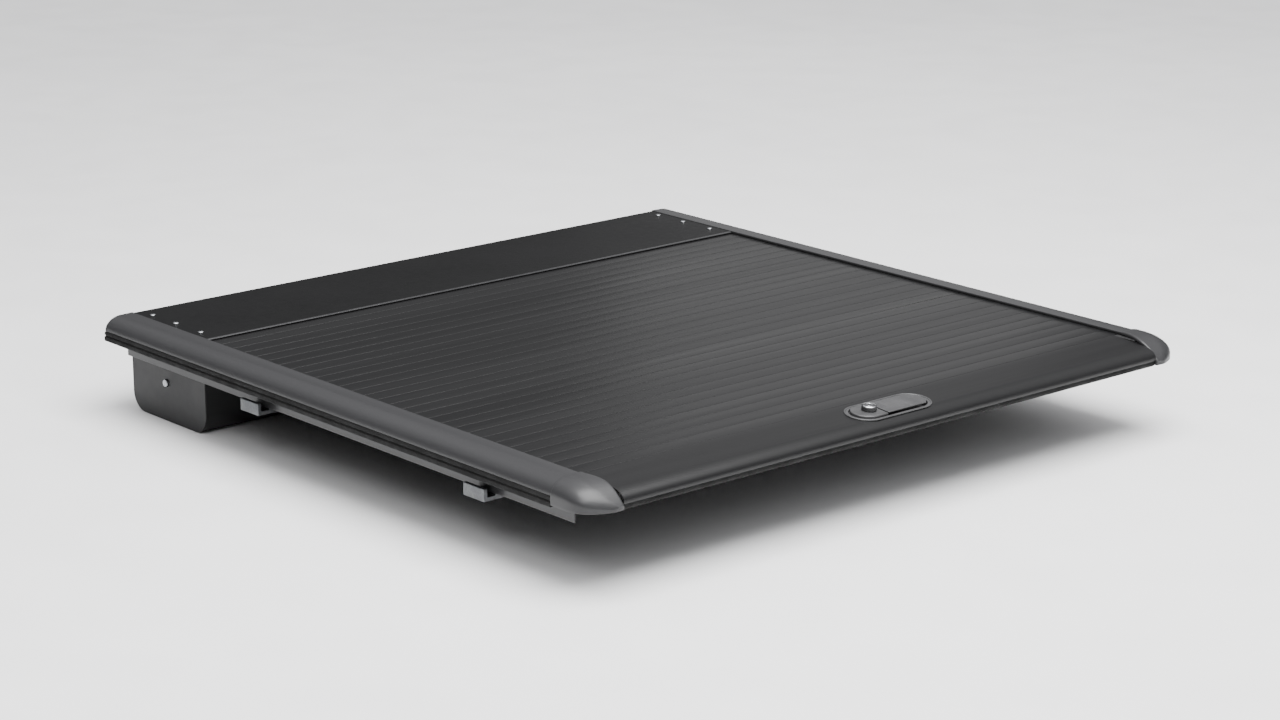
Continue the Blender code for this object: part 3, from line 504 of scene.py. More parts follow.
def carve(obj, tools, operation="DIFFERENCE"):
    """Applies Booleans with helper objects, and removes the helpers."""
    for tool in tools:
        modifier = obj.modifiers.new("carve", "BOOLEAN")
        modifier.operation = operation
        modifier.solver = "EXACT"
        modifier.object = tool
    bpy.context.view_layer.update()
    shaped = obj.evaluated_get(bpy.context.evaluated_depsgraph_get())
    obj.data = bpy.data.meshes.new_from_object(shaped)
    obj.modifiers.clear()
    for tool in tools:
        bpy.data.objects.remove(tool)
    return obj


def merge(name, pieces):
    """Joins pieces into one object, which keeps their materials."""
    bm = bmesh.new()
    materials = []
    for piece in pieces:
        start = len(bm.faces)
        bm.from_mesh(piece.data)
        bm.faces.ensure_lookup_table()
        material = piece.data.materials[0]
        if material not in materials:
            materials.append(material)
        for face in bm.faces[start:]:
            face.material_index = materials.index(material)
        bpy.data.objects.remove(piece)
    return meshed(name, bm, *materials)


def stand_for(obj, *nodes, sharp=32.0):
    """Shades a finished piece and lets it stand for CAD nodes, on their body."""
    obj.data.shade_smooth()
    obj.data.set_sharp_from_angle(angle=math.radians(sharp))
    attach(obj, BODY_OF[nodes[0]])
    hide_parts(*nodes)
    return obj


# Side rails


def crown(inset_by, steps=26):
    """The rail's rounded shoulder: a quarter ellipse from the flat top out and down to the skirt."""
    width = RAIL_OUTER_X - RAIL_CROWN_X - inset_by
    height = CROWN_Z - SKIRT_Z - inset_by
    quarter = arc((0.0, 0.0), 1.0, 90, 0, steps)
    return [(RAIL_CROWN_X + width * across, SKIRT_Z + height * rise) for across, rise in quarter]


def rail_outline():
    """The right rail's section, on X and Z, with its edges broken."""
    web_outer = WEB_X + WALL
    floor_under = CHANNEL_FLOOR_Z - WALL
    outline = [
        (RAIL_INNER_X, CREST_Z),
        *crown(0.0),
        *crown(WALL)[::-1],
        (web_outer, CROWN_Z - WALL),
        (web_outer, WALL),
        (FOOT_X, WALL),
        (FOOT_X, 0.0),
        (web_outer, 0.0),
        (web_outer, WEB_BOTTOM_Z),
        (WEB_X, WEB_BOTTOM_Z),
        (WEB_X, floor_under),
        (FLOOR_INNER_X, floor_under),
        (FLOOR_INNER_X, CHANNEL_FLOOR_Z),
        (WEB_X, CHANNEL_FLOOR_Z),
        (WEB_X, LIP_Z),
        (RAIL_INNER_X, LIP_Z),
    ]
    return rounded(outline, 0.0014, 4)


def make_rail(label, side):
    node = f"rail_{label}"
    low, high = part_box(node)
    rail = prism(f"{node}_extrusion", mirrored(rail_outline(), side), "Y", low.y, high.y, rail_coat, 0.0004)
    room_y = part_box("canister_trough")[0].y - 0.0015
    x0, x1 = sorted((side * (FLOOR_INNER_X - 0.005), side * (WEB_X + 0.0002)))
    room_plan = rectangle(x0, room_y, x1, high.y + 0.010)
    room = prism("canister_room", room_plan, "Z", 0.0200, 0.0452, rail_coat, 0.0)
    holes = [bore(CLAMP_HOLE_RADIUS, 0.020, 0.032, "Z", (side * CLAMP_BOLT_X, y)) for y in CLAMP_YS]
    stand_for(carve(rail, [room, *holes]), node)


def make_rail_seal(label, side):
    """A rubber strip with a lip on the bed and the groove that gives it its double line."""
    node = f"rail_seal_{label}"
    low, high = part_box(node)
    inner, outer = sorted((abs(low.x), abs(high.x)))
    top = high.z
    outline = [
        (inner, 0.0),
        (outer - 0.0010, 0.0),
        (outer, 0.0020),
        (outer, 0.0085),
        (outer - 0.0028, 0.0100),
        (outer - 0.0028, 0.0120),
        (outer - 0.0008, 0.0132),
        (outer - 0.0010, 0.0175),
        (RAIL_OUTER_X, top),
        (inner + 0.0045, top),
        (inner, 0.0120),
    ]
    outline = rounded(outline, 0.0012, 3)
    stand_for(prism(f"{node}_strip", mirrored(outline, side), "Y", low.y, high.y, seal_rubber), node)


# Corner caps

CAP_INNER_X = 0.6900
CAP_NOSE_OUTER_X = 0.7080
CAP_NOSE_TOP_Z = 0.0115
CAP_BOTTOM_Z = 0.0040
CAP_SHELL = 0.00238
CAP_RETURN_DROP = 0.0040
CAP_FLAT_SHARE = 0.41
CAP_FLAT_FALL = 0.01
CAP_SIDE_SHARE = 0.36


def smooth_step(t):
    t = min(1.0, max(0.0, t))
    return t * t * (3 - 2 * t)


def cap_section(t, side, length):
    """A cap's section from the foot of its inner wall up, out and down: t is 0 at the rail, 1 at the nose."""
    y = length * (1 - t) * (1 - 0.15 * t) - SLAT_GAP
    fall = max(0.0, (t - 0.10) / 0.90)
    crest = CREST_Z - (CREST_Z - CAP_NOSE_TOP_Z) * fall**2.6
    inner = RAIL_INNER_X - (RAIL_INNER_X - CAP_INNER_X) * smooth_step(t / 0.6)
    outer = RAIL_OUTER_X - (RAIL_OUTER_X - CAP_NOSE_OUTER_X) * fall**4.5
    height = crest - CAP_BOTTOM_Z
    deep = smooth_step((t - 0.56) / 0.12)
    foot = crest - CAP_RETURN_DROP - (height - CAP_RETURN_DROP) * deep
    width = outer - inner
    edge = min(0.0016, 0.2 * width)
    points = [(inner, foot + (crest - edge - foot) * i / 4) for i in range(4)]
    points += arc((inner + edge, crest - edge), edge, 180, 90, 5)
    for i in range(1, 9):
        across = edge + (CAP_FLAT_SHARE * width - edge) * i / 8
        points.append((inner + across, CAP_BOTTOM_Z + height * (1 - CAP_FLAT_FALL * (i / 8) ** 2)))
    shoulder = (inner + width * CAP_FLAT_SHARE, CAP_BOTTOM_Z + height * CAP_SIDE_SHARE)
    width *= 1 - CAP_FLAT_SHARE
    height *= 1 - CAP_FLAT_FALL - CAP_SIDE_SHARE
    quarter = arc((0.0, 0.0), 1.0, 90, 0, 24)
    points += [(shoulder[0] + width * across, shoulder[1] + height * rise) for across, rise in quarter[1:]]
    for i in range(1, 4):
        points.append((outer, shoulder[1] - (shoulder[1] - CAP_BOTTOM_Z) * i / 3))
    return [(side * x, y, z) for x, z in points]


def make_corner_cap(label, side, steps=44):
    """A moulded shell, open below, with a wall towards the bar and a closed, rounded nose."""
    node = f"corner_cap_{label}"
    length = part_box(node)[1].y + SLAT_GAP
    bm = bmesh.new()
    sections = (cap_section(i / steps, side, length) for i in range(steps + 1))
    rows = [[bm.verts.new(point) for point in section] for section in sections]
    for row, other in zip(rows, rows[1:]):
        for j in range(len(row) - 1):
            bm.faces.new((row[j], row[j + 1], other[j + 1], other[j])[::side])
    bm.faces.new(rows[-1][::side])
    cap = meshed(f"{node}_moulding", bm, rail_coat)
    shell = cap.modifiers.new("shell", "SOLIDIFY")
    shell.thickness = CAP_SHELL
    shell.offset = -1.0
    rim = cap.modifiers.new("rim", "BEVEL")
    rim.width = 0.0005
    rim.segments = 2
    rim.limit_method = "ANGLE"
    rim.angle_limit = math.radians(50.0)
    stand_for(carve(cap, []), node)


# Strikers and clamps


def make_striker(label):
    node = f"latch_striker_{label}"
    low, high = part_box(node)
    stop = 0.0574
    outline = [
        (low.y, low.z),
        (high.y, low.z),
        (high.y, CHANNEL_FLOOR_Z),
        (stop, CHANNEL_FLOOR_Z),
        (stop, high.z),
        (low.y, 0.0365),
    ]
    stand_for(prism(f"{node}_bracket", rounded(outline, 0.0009), "X", low.x, high.x, tray_coat), node)


def thread(root, crest, low, high, pitch):
    """A profile that stands for a screw thread."""
    count = int((high - low) / pitch)
    profile = []
    for i in range(count):
        start = low + pitch * i
        profile += [(root, start), (crest, start + pitch * 0.45), (crest, start + pitch * 0.55)]
    profile.append((root, low + pitch * count))
    return profile


def make_clamp(label, side, where, y):
    jaw_node = f"clamp_jaw_{label}_{where}"
    low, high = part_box(jaw_node)
    foot_x, tooth_x = sorted((abs(low.x), abs(high.x)))
    outline = [
        (foot_x, low.z),
        (tooth_x, low.z),
        (tooth_x, JAW_TOOTH_Z),
        (tooth_x - 0.0080, JAW_TOOTH_Z),
        (tooth_x - 0.0080, JAW_TOP_Z),
        (WEB_X - 0.0005, JAW_TOP_Z),
        (WEB_X - 0.0005, high.z),
        (0.7065, high.z),
        (0.7065, JAW_TOP_Z),
        (foot_x, JAW_TOP_Z),
    ]
    outline = rounded(mirrored(outline, side), 0.0012, 4)
    jaw = prism(f"{jaw_node}_casting", outline, "Y", low.y, high.y, jaw_metal, 0.0008)
    centre = (side * CLAMP_BOLT_X, y)
    stand_for(carve(jaw, [bore(CLAMP_HOLE_RADIUS, -0.060, -0.040, "Z", centre, 28)]), jaw_node)
    bolt_node = f"clamp_bolt_{label}_{where}"
    bottom, top = (corner.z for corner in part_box(bolt_node))
    hexagon = ((0.0055, 0.0), (0.0062, 0.0006), (0.0062, 0.0054))
    flange = ((0.0058, 0.0050), (0.0068, 0.0066), (0.0068, 0.0078), (0.0060, 0.0082))
    threaded = thread(0.0033, 0.0040, 0.0200, top - bottom - 0.001, 0.00125)
    shank = ((0.0038, 0.0070), (0.0038, 0.0200), *threaded)
    pieces = []
    for profile, sides in ((hexagon, 6), (flange, 40), (shank, 24)):
        steps = [(radius, bottom + along) for radius, along in profile]
        pieces.append(turned("bolt_section", steps, "Z", centre, zinc, sides))
    stand_for(merge(f"{bolt_node}_m8", pieces), bolt_node)


# Curtain


def hook(end, steps=14):
    """The bead on a neck that hangs a slat or the bar from the next slat, from below up to the top edge."""
    centre = (end + KNUCKLE_OFFSET, CURTAIN_Z - KNUCKLE_DROP)
    neck = math.degrees(math.asin(NECK_HALF / BEAD_RADIUS))
    under = CURTAIN_Z - SLAT_SKIN
    return [
        (end - 0.0020, under),
        (end - 0.0020, centre[1] - NECK_HALF),
        *arc(centre, BEAD_RADIUS, -180 + neck, 180 - neck, steps),
        (end - 0.0008, centre[1] + NECK_HALF),
        (end - 0.0008, under),
        (end - SLAT_GAP, under),
        (end - SLAT_GAP, CURTAIN_Z - GROOVE_DEPTH),
        *arc((end - GROOVE_HALF_WIDTH, CURTAIN_Z - SLAT_EDGE), SLAT_EDGE, 30, 90, 4),
    ]


def socket(start, steps=14):
    """The open knuckle at a slat's rear end, from the top edge down, round and forward to the skin."""
    centre = (start + KNUCKLE_OFFSET, CURTAIN_Z - KNUCKLE_DROP)
    outer_mouth = math.degrees(math.asin(SOCKET_MOUTH / KNUCKLE_RADIUS))
    inner_mouth = math.degrees(math.asin(SOCKET_MOUTH / SOCKET_RADIUS))
    meet = math.degrees(math.asin((KNUCKLE_DROP - SLAT_SKIN) / KNUCKLE_RADIUS))
    return [
        *arc((start + GROOVE_HALF_WIDTH, CURTAIN_Z - SLAT_EDGE), SLAT_EDGE, 90, 150, 4),
        (start + SLAT_GAP, CURTAIN_Z - GROOVE_DEPTH),
        (start + SLAT_GAP, CURTAIN_Z - SLAT_SKIN),
        *arc(centre, KNUCKLE_RADIUS, 180 - meet, 180 - outer_mouth, 4),
        *arc(centre, SOCKET_RADIUS, 180 - inner_mouth, -180 + inner_mouth, steps),
        *arc(centre, KNUCKLE_RADIUS, -180 + outer_mouth, meet, steps),
    ]


def stiffener(middle):
    """The rib under a slat, with its thicker foot."""
    under = CURTAIN_Z - SLAT_SKIN
    foot = under - 0.0060
    half = [(0.0006, under), (0.0006, foot + 0.0012), (0.0016, foot + 0.0012), (0.0016, foot)]
    left = [(middle - across, height) for across, height in half]
    right = [(middle + across, height) for across, height in reversed(half)]
    return left + right


def make_slats():
    """Two hinged slats for each CAD node, with a nylon glide on each end."""
    for i in range(1, 16):
        node = f"slat_pair_{i:02d}"
        low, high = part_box(node)
        first = low.y - SLAT_GAP
        pitch = (high.y - KNUCKLE_OFFSET - BEAD_RADIUS - first) / 2
        pieces = []
        for start in (first, first + pitch):
            outline = socket(start) + stiffener(start + pitch / 2 + 0.002) + hook(start + pitch)
            half = high.x - GLIDE_LENGTH
            pieces.append(prism("slat", outline, "X", -half, half, slat_coat, 0.0001))
            for side in SIDES.values():
                x0, x1 = sorted((side * (half - 0.001), side * (high.x + 0.0003)))
                corner_low = (x0, start + 0.0012, CURTAIN_Z - 0.0104)
                corner_high = (x1, start + pitch - 0.0022, CURTAIN_Z + 0.0001)
                pieces.append(box_prism("glide", corner_low, corner_high, black_plastic, 0.0012, "X"))
        stand_for(merge(f"slats_{i:02d}", pieces), node)


# Rear bar


def bar_nose(by, steps=18):
    """The bar's rounded nose, from the sloping top down to the tip, moved inwards by a distance."""
    top = (BAR_NOSE_Y, BAR_NOSE_Z - by)
    tip = (by, BAR_TIP_Z)
    lean = 0.55 * (BAR_NOSE_Y - by)
    drop = 0.55 * (BAR_NOSE_Z - BAR_TIP_Z - by)
    from_top = (top[0] - lean, top[1] - lean * math.tan(BAR_SLOPE))
    return bezier((top, from_top, (tip[0], tip[1] + drop), tip), steps)


def bar_outline(low, high_y):
    """The bar's section, on Y and Z: a shell open below, with a soft break along its top."""
    lip_top = low.z + BAR_WALL
    web_front = high_y - 0.0060
    web_rear = web_front - BAR_WALL
    rear_lip = 0.0220
    front_lip = 0.0900
    reach = 0.0085
    slope = math.tan(BAR_SLOPE)
    brow = bezier(
        (
            (BAR_BREAK_Y + reach, CURTAIN_Z),
            (BAR_BREAK_Y + reach / 3, CURTAIN_Z),
            (BAR_BREAK_Y - reach / 3, CURTAIN_Z - slope * reach / 3),
            (BAR_BREAK_Y - reach, CURTAIN_Z - slope * reach),
        ),
        10,
    )
    return [
        *hook(high_y),
        *brow,
        *bar_nose(0.0),
        *rounded([(0.0, BAR_TIP_Z), (0.0010, low.z), (rear_lip, low.z)], 0.0010)[4:8],
        (rear_lip, low.z),
        (rear_lip, lip_top),
        *bar_nose(BAR_WALL)[::-1],
        (BAR_BREAK_Y, CURTAIN_Z - BAR_WALL),
        (web_rear, CURTAIN_Z - BAR_WALL),
        (web_rear, lip_top),
        (front_lip, lip_top),
        (front_lip, low.z),
        (web_front, low.z),
        (web_front, CURTAIN_Z - SLAT_SKIN),
    ]


def on_bar(obj):
    """Lays a piece made in the handle's frame on the bar: u along X, v up the slope, w out of the top."""
    height = CURTAIN_Z - (BAR_BREAK_Y - HANDLE_Y) * math.tan(BAR_SLOPE)
    obj.data.transform(Matrix.Translation((0.0, HANDLE_Y, height)) @ Matrix.Rotation(BAR_SLOPE, 4, "X"))
    return obj


def make_rear_bar():
    low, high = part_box("rear_bar")
    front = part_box("slat_pair_01")[0].y - SLAT_GAP
    bar = prism("rear_bar_extrusion", bar_outline(low, front), "X", low.x, high.x, bar_coat, 0.0004)
    loops = [stadium(DISH_LENGTH + 0.002, DISH_WIDTH + 0.002, w) for w in (-0.010, 0.010)]
    pocket = on_bar(loft("pocket", loops, bar_coat))
    stand_for(carve(bar, [pocket]), "rear_bar")


def make_bar_seal():
    """The rubber bulb under the bar's rear lip, on its foot."""
    low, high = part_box("bar_lip_seal")
    outline = [
        (0.0030, high.z),
        (0.0030, 0.0100),
        *arc((0.0100, 0.0075), 0.0070, 160, 380, 22),
        (0.0190, 0.0100),
        (0.0190, high.z),
    ]
    stand_for(prism("bar_lip_seal_bulb", outline, "X", low.x, high.x, seal_rubber), "bar_lip_seal")


def make_bar_guide(label):
    node = f"bar_guide_{label}"
    low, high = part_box(node)
    guide = box_prism(f"{node}_block", low, high, black_plastic, 0.0014, "X")
    bolt_low, bolt_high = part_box(f"latch_bolt_{label}")
    middle = (bolt_low.y + bolt_high.y) / 2
    way = bore(BOLT_RADIUS + 0.0004, low.x - 0.01, high.x + 0.01, "X", (middle, ROD_HIGH_Z), 32)
    stand_for(carve(guide, [way]), node)


# Handle and latch


def rounded_end(left, half_width, length, steps=28):
    """A plan outline, flat on the left, with the right end of a stadium that has this whole length."""
    end = arc((length / 2 - half_width, 0.0), half_width, -90, 90, steps)
    return [(left, half_width), (left, -half_width), *end]


def pin_bore():
    return bore(PIN_RADIUS + 0.0003, PIN_LEFT_U - 0.0010, PIN_RIGHT_U + 0.0080, "X", (PIN_V, PIN_W))


def make_bezel():
    """The handle's moulding: a rim, a groove, a raised pad round the lock and a dish for the paddle."""
    bead_width = 0.0035
    shape = [
        (DISH_LENGTH - 0.0024, DISH_WIDTH - 0.0024, -DISH_DEPTH),
        (DISH_LENGTH, DISH_WIDTH, 0.0012 - DISH_DEPTH),
        (DISH_LENGTH, DISH_WIDTH, 0.0003),
        (BEZEL_LENGTH, BEZEL_WIDTH, 0.0003),
    ]
    for across, rise in arc((0.0, 0.0), 1.0, 180, 0, 12):
        by = bead_width * (1 + across)
        height = BEZEL_FLANGE_W + (BEZEL_RIM_W - BEZEL_FLANGE_W) * rise
        shape.append((BEZEL_LENGTH - by, BEZEL_WIDTH - by, height))
    edge = 0.0020
    shape += [
        (DISH_LENGTH - 0.0030, DISH_WIDTH - 0.0030, BEZEL_FLANGE_W),
        (DISH_LENGTH - 0.0038, DISH_WIDTH - 0.0038, BEZEL_FLANGE_W - 0.0004),
        (DISH_LENGTH - 0.0040, DISH_WIDTH - 0.0040, GROOVE_W),
        (PAD_LENGTH, PAD_WIDTH, GROOVE_W),
    ]
    for across, rise in arc((0.0, 0.0), edge, 0, 90, 8):
        by = 2 * (edge - across)
        shape.append((PAD_LENGTH - by, PAD_WIDTH - by, PAD_TOP_W - edge + rise))
    bezel = loft("handle_bezel_moulding", [stadium(*loop, steps=28) for loop in shape], handle_plastic)

    levels = (
        (-0.0010, DISH_WALL - DISH_DEPTH),
        (0.0, DISH_WALL - DISH_DEPTH + 0.0010),
        (0.0, PAD_TOP_W - 0.0008),
        (0.0030, PAD_TOP_W + 0.0022),
    )
    inside = []
    for by, w in levels:
        half_width = DISH_WIDTH / 2 - DISH_WALL + by
        plan = rounded_end(DISH_LEFT_U - by, half_width, DISH_LENGTH - 2 * DISH_WALL + 2 * by)
        inside.append([(u, v, w) for u, v in plan])
    lock_hole = bore(LOCK_RADIUS + 0.0004, -0.020, 0.010, "Z", (LOCK_U, 0.0), 48)
    rear, front = PIN_V - 0.0105, PIN_V + 0.0030
    window = rounded(rectangle(0.0105, rear, 0.0295, front), 0.0020)
    slot = prism("slot", window, "Z", -0.020, -0.010, handle_plastic, 0.0)
    carve(bezel, [loft("dish", inside, handle_plastic), lock_hole, slot, pin_bore()])
    stand_for(on_bar(bezel), "handle_bezel")


def paddle_plan(left, by):
    """The paddle's outline from above, this far inside its edges, on the same round end as the pad."""
    radius = PAD_WIDTH / 2 - by
    rear = PADDLE_REAR_V + by
    front = PIN_V - 0.0010 - by
    angles = [math.degrees(math.asin(v / radius)) for v in (rear, front)]
    end = arc((PAD_LENGTH / 2 - PAD_WIDTH / 2, 0.0), radius, *angles, 28)
    return rounded([(left, front), (left, rear), *end], 0.0032, 4)


def raised(name, plan, levels):
    """A solid of handle plastic built up from one plan at several insets and heights."""
    loops = [[(u, v, w) for u, v in inset(plan, by)] for by, w in levels]
    return loft(name, loops, handle_plastic)


def make_paddle():
    """The lever: a plate level with the pad, a grip and ribs on it, a hinge barrel and a tail below."""
    top = PAD_TOP_W
    under = top - PADDLE_THICKNESS
    front = PIN_V - 0.0010
    plate_levels = (
        (0.0008, under),
        (0.0, under + 0.0005),
        (0.0, top - 0.0012),
        (0.0002, top - 0.0006),
        (0.0007, top - 0.0002),
        (0.0016, top),
    )
    paddle = raised("handle_paddle_lever", paddle_plan(PADDLE_LEFT_U, 0.0), plate_levels)
    grip_levels = ((0.0, top - 0.0004), (0.0, top), (0.0006, top + 0.0004), (0.0018, top + 0.0006))
    extras = [raised("grip", paddle_plan(0.0360, 0.0040), grip_levels)]
    rib = rounded(rectangle(-0.0040, top - 0.0006, 0.0190, top + 0.0005), 0.0004)
    for i in range(3):
        u = PADDLE_LEFT_U + 0.0050 + 0.0048 * i
        extras.append(prism("rib", rib, "X", u, u + 0.0016, handle_plastic, 0.0003))
    hinge_section = [
        (front - 0.0034, top - 0.0010),
        (front - 0.0002, top - 0.0010),
        *arc((PIN_V, PIN_W), BARREL_RADIUS, 100, -190, 24),
    ]
    extras.append(prism("hinge", hinge_section, "X", PADDLE_LEFT_U + 0.0005, HINGE_RIGHT_U, handle_plastic))
    tail_low = (0.0120, PIN_V - 0.002, -0.0180)
    extras.append(box_prism("tail", tail_low, (0.0280, PIN_V + 0.002, -0.0060), handle_plastic))
    carve(paddle, extras, "UNION")
    stand_for(on_bar(carve(paddle, [pin_bore()])), "handle_paddle")
    profile = pin_profile(PIN_RADIUS, PIN_LEFT_U, PIN_RIGHT_U, 0.0003)
    stand_for(on_bar(turned("paddle_pin_rod", profile, "X", (PIN_V, PIN_W), zinc_rod, 24)), "paddle_pin")


def make_lock():
    """The key cylinder with its domed chrome face, its black collar and its slot, and the cam below it."""
    seat = PAD_TOP_W + 0.0003
    core = LOCK_HEAD_RADIUS - 0.0024
    face = LOCK_HEAD_RADIUS - 0.0006
    crown_radius = 0.0020
    profile = [
        (LOCK_RADIUS - 0.0005, -0.0215),
        (LOCK_RADIUS, -0.0210),
        (LOCK_RADIUS, seat - 0.0006),
        (core, seat),
        (core, LOCK_TOP_W - crown_radius),
        (face - 0.0003, LOCK_TOP_W - crown_radius),
        (face, LOCK_TOP_W - crown_radius + 0.0003),
        *arc((face - crown_radius, LOCK_TOP_W - crown_radius), crown_radius, 12, 84, 8),
        (0.0078, LOCK_TOP_W - 0.0001),
        (0.0074, LOCK_TOP_W - 0.0006),
        (0.0070, LOCK_TOP_W - 0.0006),
        (0.0066, LOCK_TOP_W - 0.0001),
        (0.0020, LOCK_TOP_W),
    ]
    centre = (LOCK_U, 0.0)
    cylinder = turned("cylinder", profile, "Z", centre, chrome, 64)
    keyway_low = (LOCK_U - 0.0006, -0.0038, 0.0085)
    keyway = box_prism("keyway", keyway_low, (LOCK_U + 0.0006, 0.0038, 0.0200), chrome, 0.0005)
    carve(cylinder, [keyway])
    sizes = (LOCK_HEAD_RADIUS, core + 0.0002, seat, LOCK_TOP_W - crown_radius - 0.0002)
    collar = sleeve("collar", *sizes, "Z", centre, black_plastic, edge=0.0006)
    stand_for(on_bar(merge("lock_cylinder_chrome", [cylinder, collar])), "lock_cylinder")
    outline = arc(centre, 0.0070, 90, 270, 20) + arc((LOCK_U + 0.0240, 0.0), 0.0040, -90, 90, 16)
    stand_for(on_bar(prism("lock_cam_plate", outline, "Z", -0.0238, -0.0218, zinc, 0.0003)), "lock_cam")


def crank_pins():
    """The crank's two pins at rest: the left rod's pin first."""
    arm = 0.0125
    rest = math.radians(30.0)
    across, back = arm * math.sin(rest), arm * math.cos(rest)
    return [Vector((side * across, CRANK_Y - side * back)) for side in SIDES.values()]


def make_crank():
    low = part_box("latch_crank")[0].z
    left, right = crank_pins()
    heading = math.degrees(math.atan2(left.y - right.y, left.x - right.x))
    outline = arc(left, 0.0045, heading - 90, heading + 90, 16)
    outline += arc(right, 0.0045, heading + 90, heading + 270, 16)
    crank = prism("latch_crank_rocker", outline, "Z", low, low + 0.0018, zinc, 0.0003)
    studs = []
    middle = (left + right) / 2
    for centre, radius, top in ((left, 0.0018, 0.0215), (right, 0.0018, 0.0215), (middle, 0.0030, 0.0240)):
        profile = ((radius, low + 0.0009), (radius, top - 0.0003), (radius - 0.0003, top))
        studs.append(turned("stud", profile, "Z", centre, zinc, 28))
    stand_for(carve(crank, studs, "UNION"), "latch_crank")


def make_latch_bolt(label, side):
    """A flat rod with one joggle, and the round bolt on its end."""
    node = f"latch_bolt_{label}"
    low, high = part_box(node)
    middle = (low.y + high.y) / 2
    pin_x = dict(zip(SIDES, crank_pins()))[label].x
    inner_x, tip_x = sorted((low.x, high.x), key=abs)
    rise = (side * 0.1000, side * 0.1170)
    line = ((inner_x, ROD_LOW_Z), (rise[0], ROD_LOW_Z), (rise[1], ROD_HIGH_Z), (side * 0.6200, ROD_HIGH_Z))
    outline = [(x, z - 0.001) for x, z in line] + [(x, z + 0.001) for x, z in reversed(line)]
    rod = prism(f"{node}_rod", rounded(outline, 0.0040, 4), "Y", low.y, high.y, zinc_rod, 0.0003)
    profile = (
        (0.0026, side * 0.6000),
        (BOLT_RADIUS, side * 0.6004),
        (BOLT_RADIUS, tip_x - side * 0.0015),
        (0.0024, tip_x - side * 0.0004),
        (0.0018, tip_x),
    )
    bolt = turned("bolt", profile, "X", (middle, ROD_HIGH_Z), zinc_rod, 32)
    carve(rod, [bolt], "UNION")
    corner_low = (pin_x - 0.0023, middle - 0.0034, ROD_LOW_Z - 0.005)
    corner_high = (pin_x + 0.0023, middle + 0.0034, ROD_LOW_Z + 0.005)
    stand_for(carve(rod, [box_prism("slot", corner_low, corner_high, zinc_rod, 0.0022)]), node)


# Canister


def trough_wall(low, high, by, rear_top, front_top):
    """The trough's folded sheet, from the rear wall's top down and round to the front wall's top."""
    radius = TROUGH_CORNER - by
    rear = low.y + by
    front = high.y - by
    bottom = low.z + by
    return [
        (rear, rear_top),
        *arc((rear + radius, bottom + radius), radius, 180, 270, 14),
        *arc((front - radius, bottom + radius), radius, 270, 360, 14),
        (front, front_top),
    ]


def screw_holes(side):
    return [bore(0.0029, 0.0400, 0.0500, "Z", (side * LID_SCREW_X, y)) for y in LID_SCREW_YS]


def make_canister():
    low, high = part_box("canister_trough")
    rear_top = 0.0300
    outer = trough_wall(low, high, 0.0, rear_top, high.z)
    inner = trough_wall(low, high, SHEET, rear_top, high.z)
    trough = prism("canister_trough_sheet", outer + inner[::-1], "X", low.x, high.x, tray_coat, 0.0002)
    stand_for(trough, "canister_trough")
    for label, side in SIDES.items():
        node = f"canister_end_{label}"
        end_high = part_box(node)[1]
        plate_x = sorted((side * END_PLATE_X, side * (END_PLATE_X + SHEET)))
        outline = trough_wall(low, high, 0.0, end_high.z, end_high.z)
        plate = prism(f"{node}_plate", outline, "X", *plate_x, tray_coat)
        reach = sorted((side * 0.6680, side * (END_PLATE_X + SHEET / 2)))
        corner_low = (reach[0], 1.2620, 0.0430)
        corner_high = (reach[1], high.y - SHEET - 0.0003, end_high.z - 0.0001)
        flange = box_prism("flange", corner_low, corner_high, tray_coat, 0.0020)
        carve(plate, [flange], "UNION")
        axle_hole = bore(AXLE_RADIUS + 0.0004, side * 0.700, side * 0.720, "X", DRUM_AXIS, 40)
        stand_for(carve(plate, [axle_hole, *screw_holes(side)]), node)


def make_lid():
    """The folded lid, with a nosing along its rear edge in the lighter, smoother rail coat, whose lighter
    colour is a painted highlight along that edge, and a skirt towards the cab.
    """
    low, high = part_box("canister_lid")
    under = high.z - SHEET
    nosing_front = low.y + 0.0060
    outline = [
        (nosing_front, under),
        (high.y - SHEET - 0.0010, under),
        (high.y - SHEET, under - 0.0010),
        (high.y - SHEET, low.z),
        (high.y, low.z),
        *arc((high.y - 0.0030, high.z - 0.0030), 0.0030, 0, 90, 10),
        (nosing_front, high.z),
    ]
    lid = prism("panel", outline, "X", low.x, high.x, lid_coat, 0.0004)
    carve(lid, screw_holes(-1) + screw_holes(1))
    end = nosing_front - 0.0002
    roll = [(end, under), (end, high.z), *arc((low.y + SHEET, under), SHEET, 90, 180, 12)]
    # The nosing's lighter rail coat is a painted highlight along the lid's rear edge.
    highlight_nosing = prism("highlight_nosing", roll, "X", low.x, high.x, rail_coat, 0.0002)
    stand_for(merge("canister_lid_panel", [lid, highlight_nosing]), "canister_lid")


def make_lid_screws():
    """Button-head screws with a hexagon socket."""
    for label, side in SIDES.items():
        for i, y in enumerate(LID_SCREW_YS, start=1):
            node = f"lid_screw_{label}_{i}"
            low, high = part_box(node)
            seat = high.z - 0.0026
            centre = (side * LID_SCREW_X, y)
            dome = ((0.0060, seat + 0.0006), (0.0060, seat + 0.0018), (0.0044, high.z), (0.0022, high.z))
            profile = [
                (0.0021, low.z),
                (0.0025, low.z + 0.0004),
                (0.0025, seat),
                (0.0058, seat),
                (0.0060, seat + 0.0002),
                *bezier(dome, 8),
            ]
            screw = turned(f"{node}_head", profile, "Z", centre, zinc, 40)
            hexagon = bore(0.0019, high.z - 0.0015, high.z + 0.001, "Z", centre, 6)
            stand_for(carve(screw, [hexagon]), node)


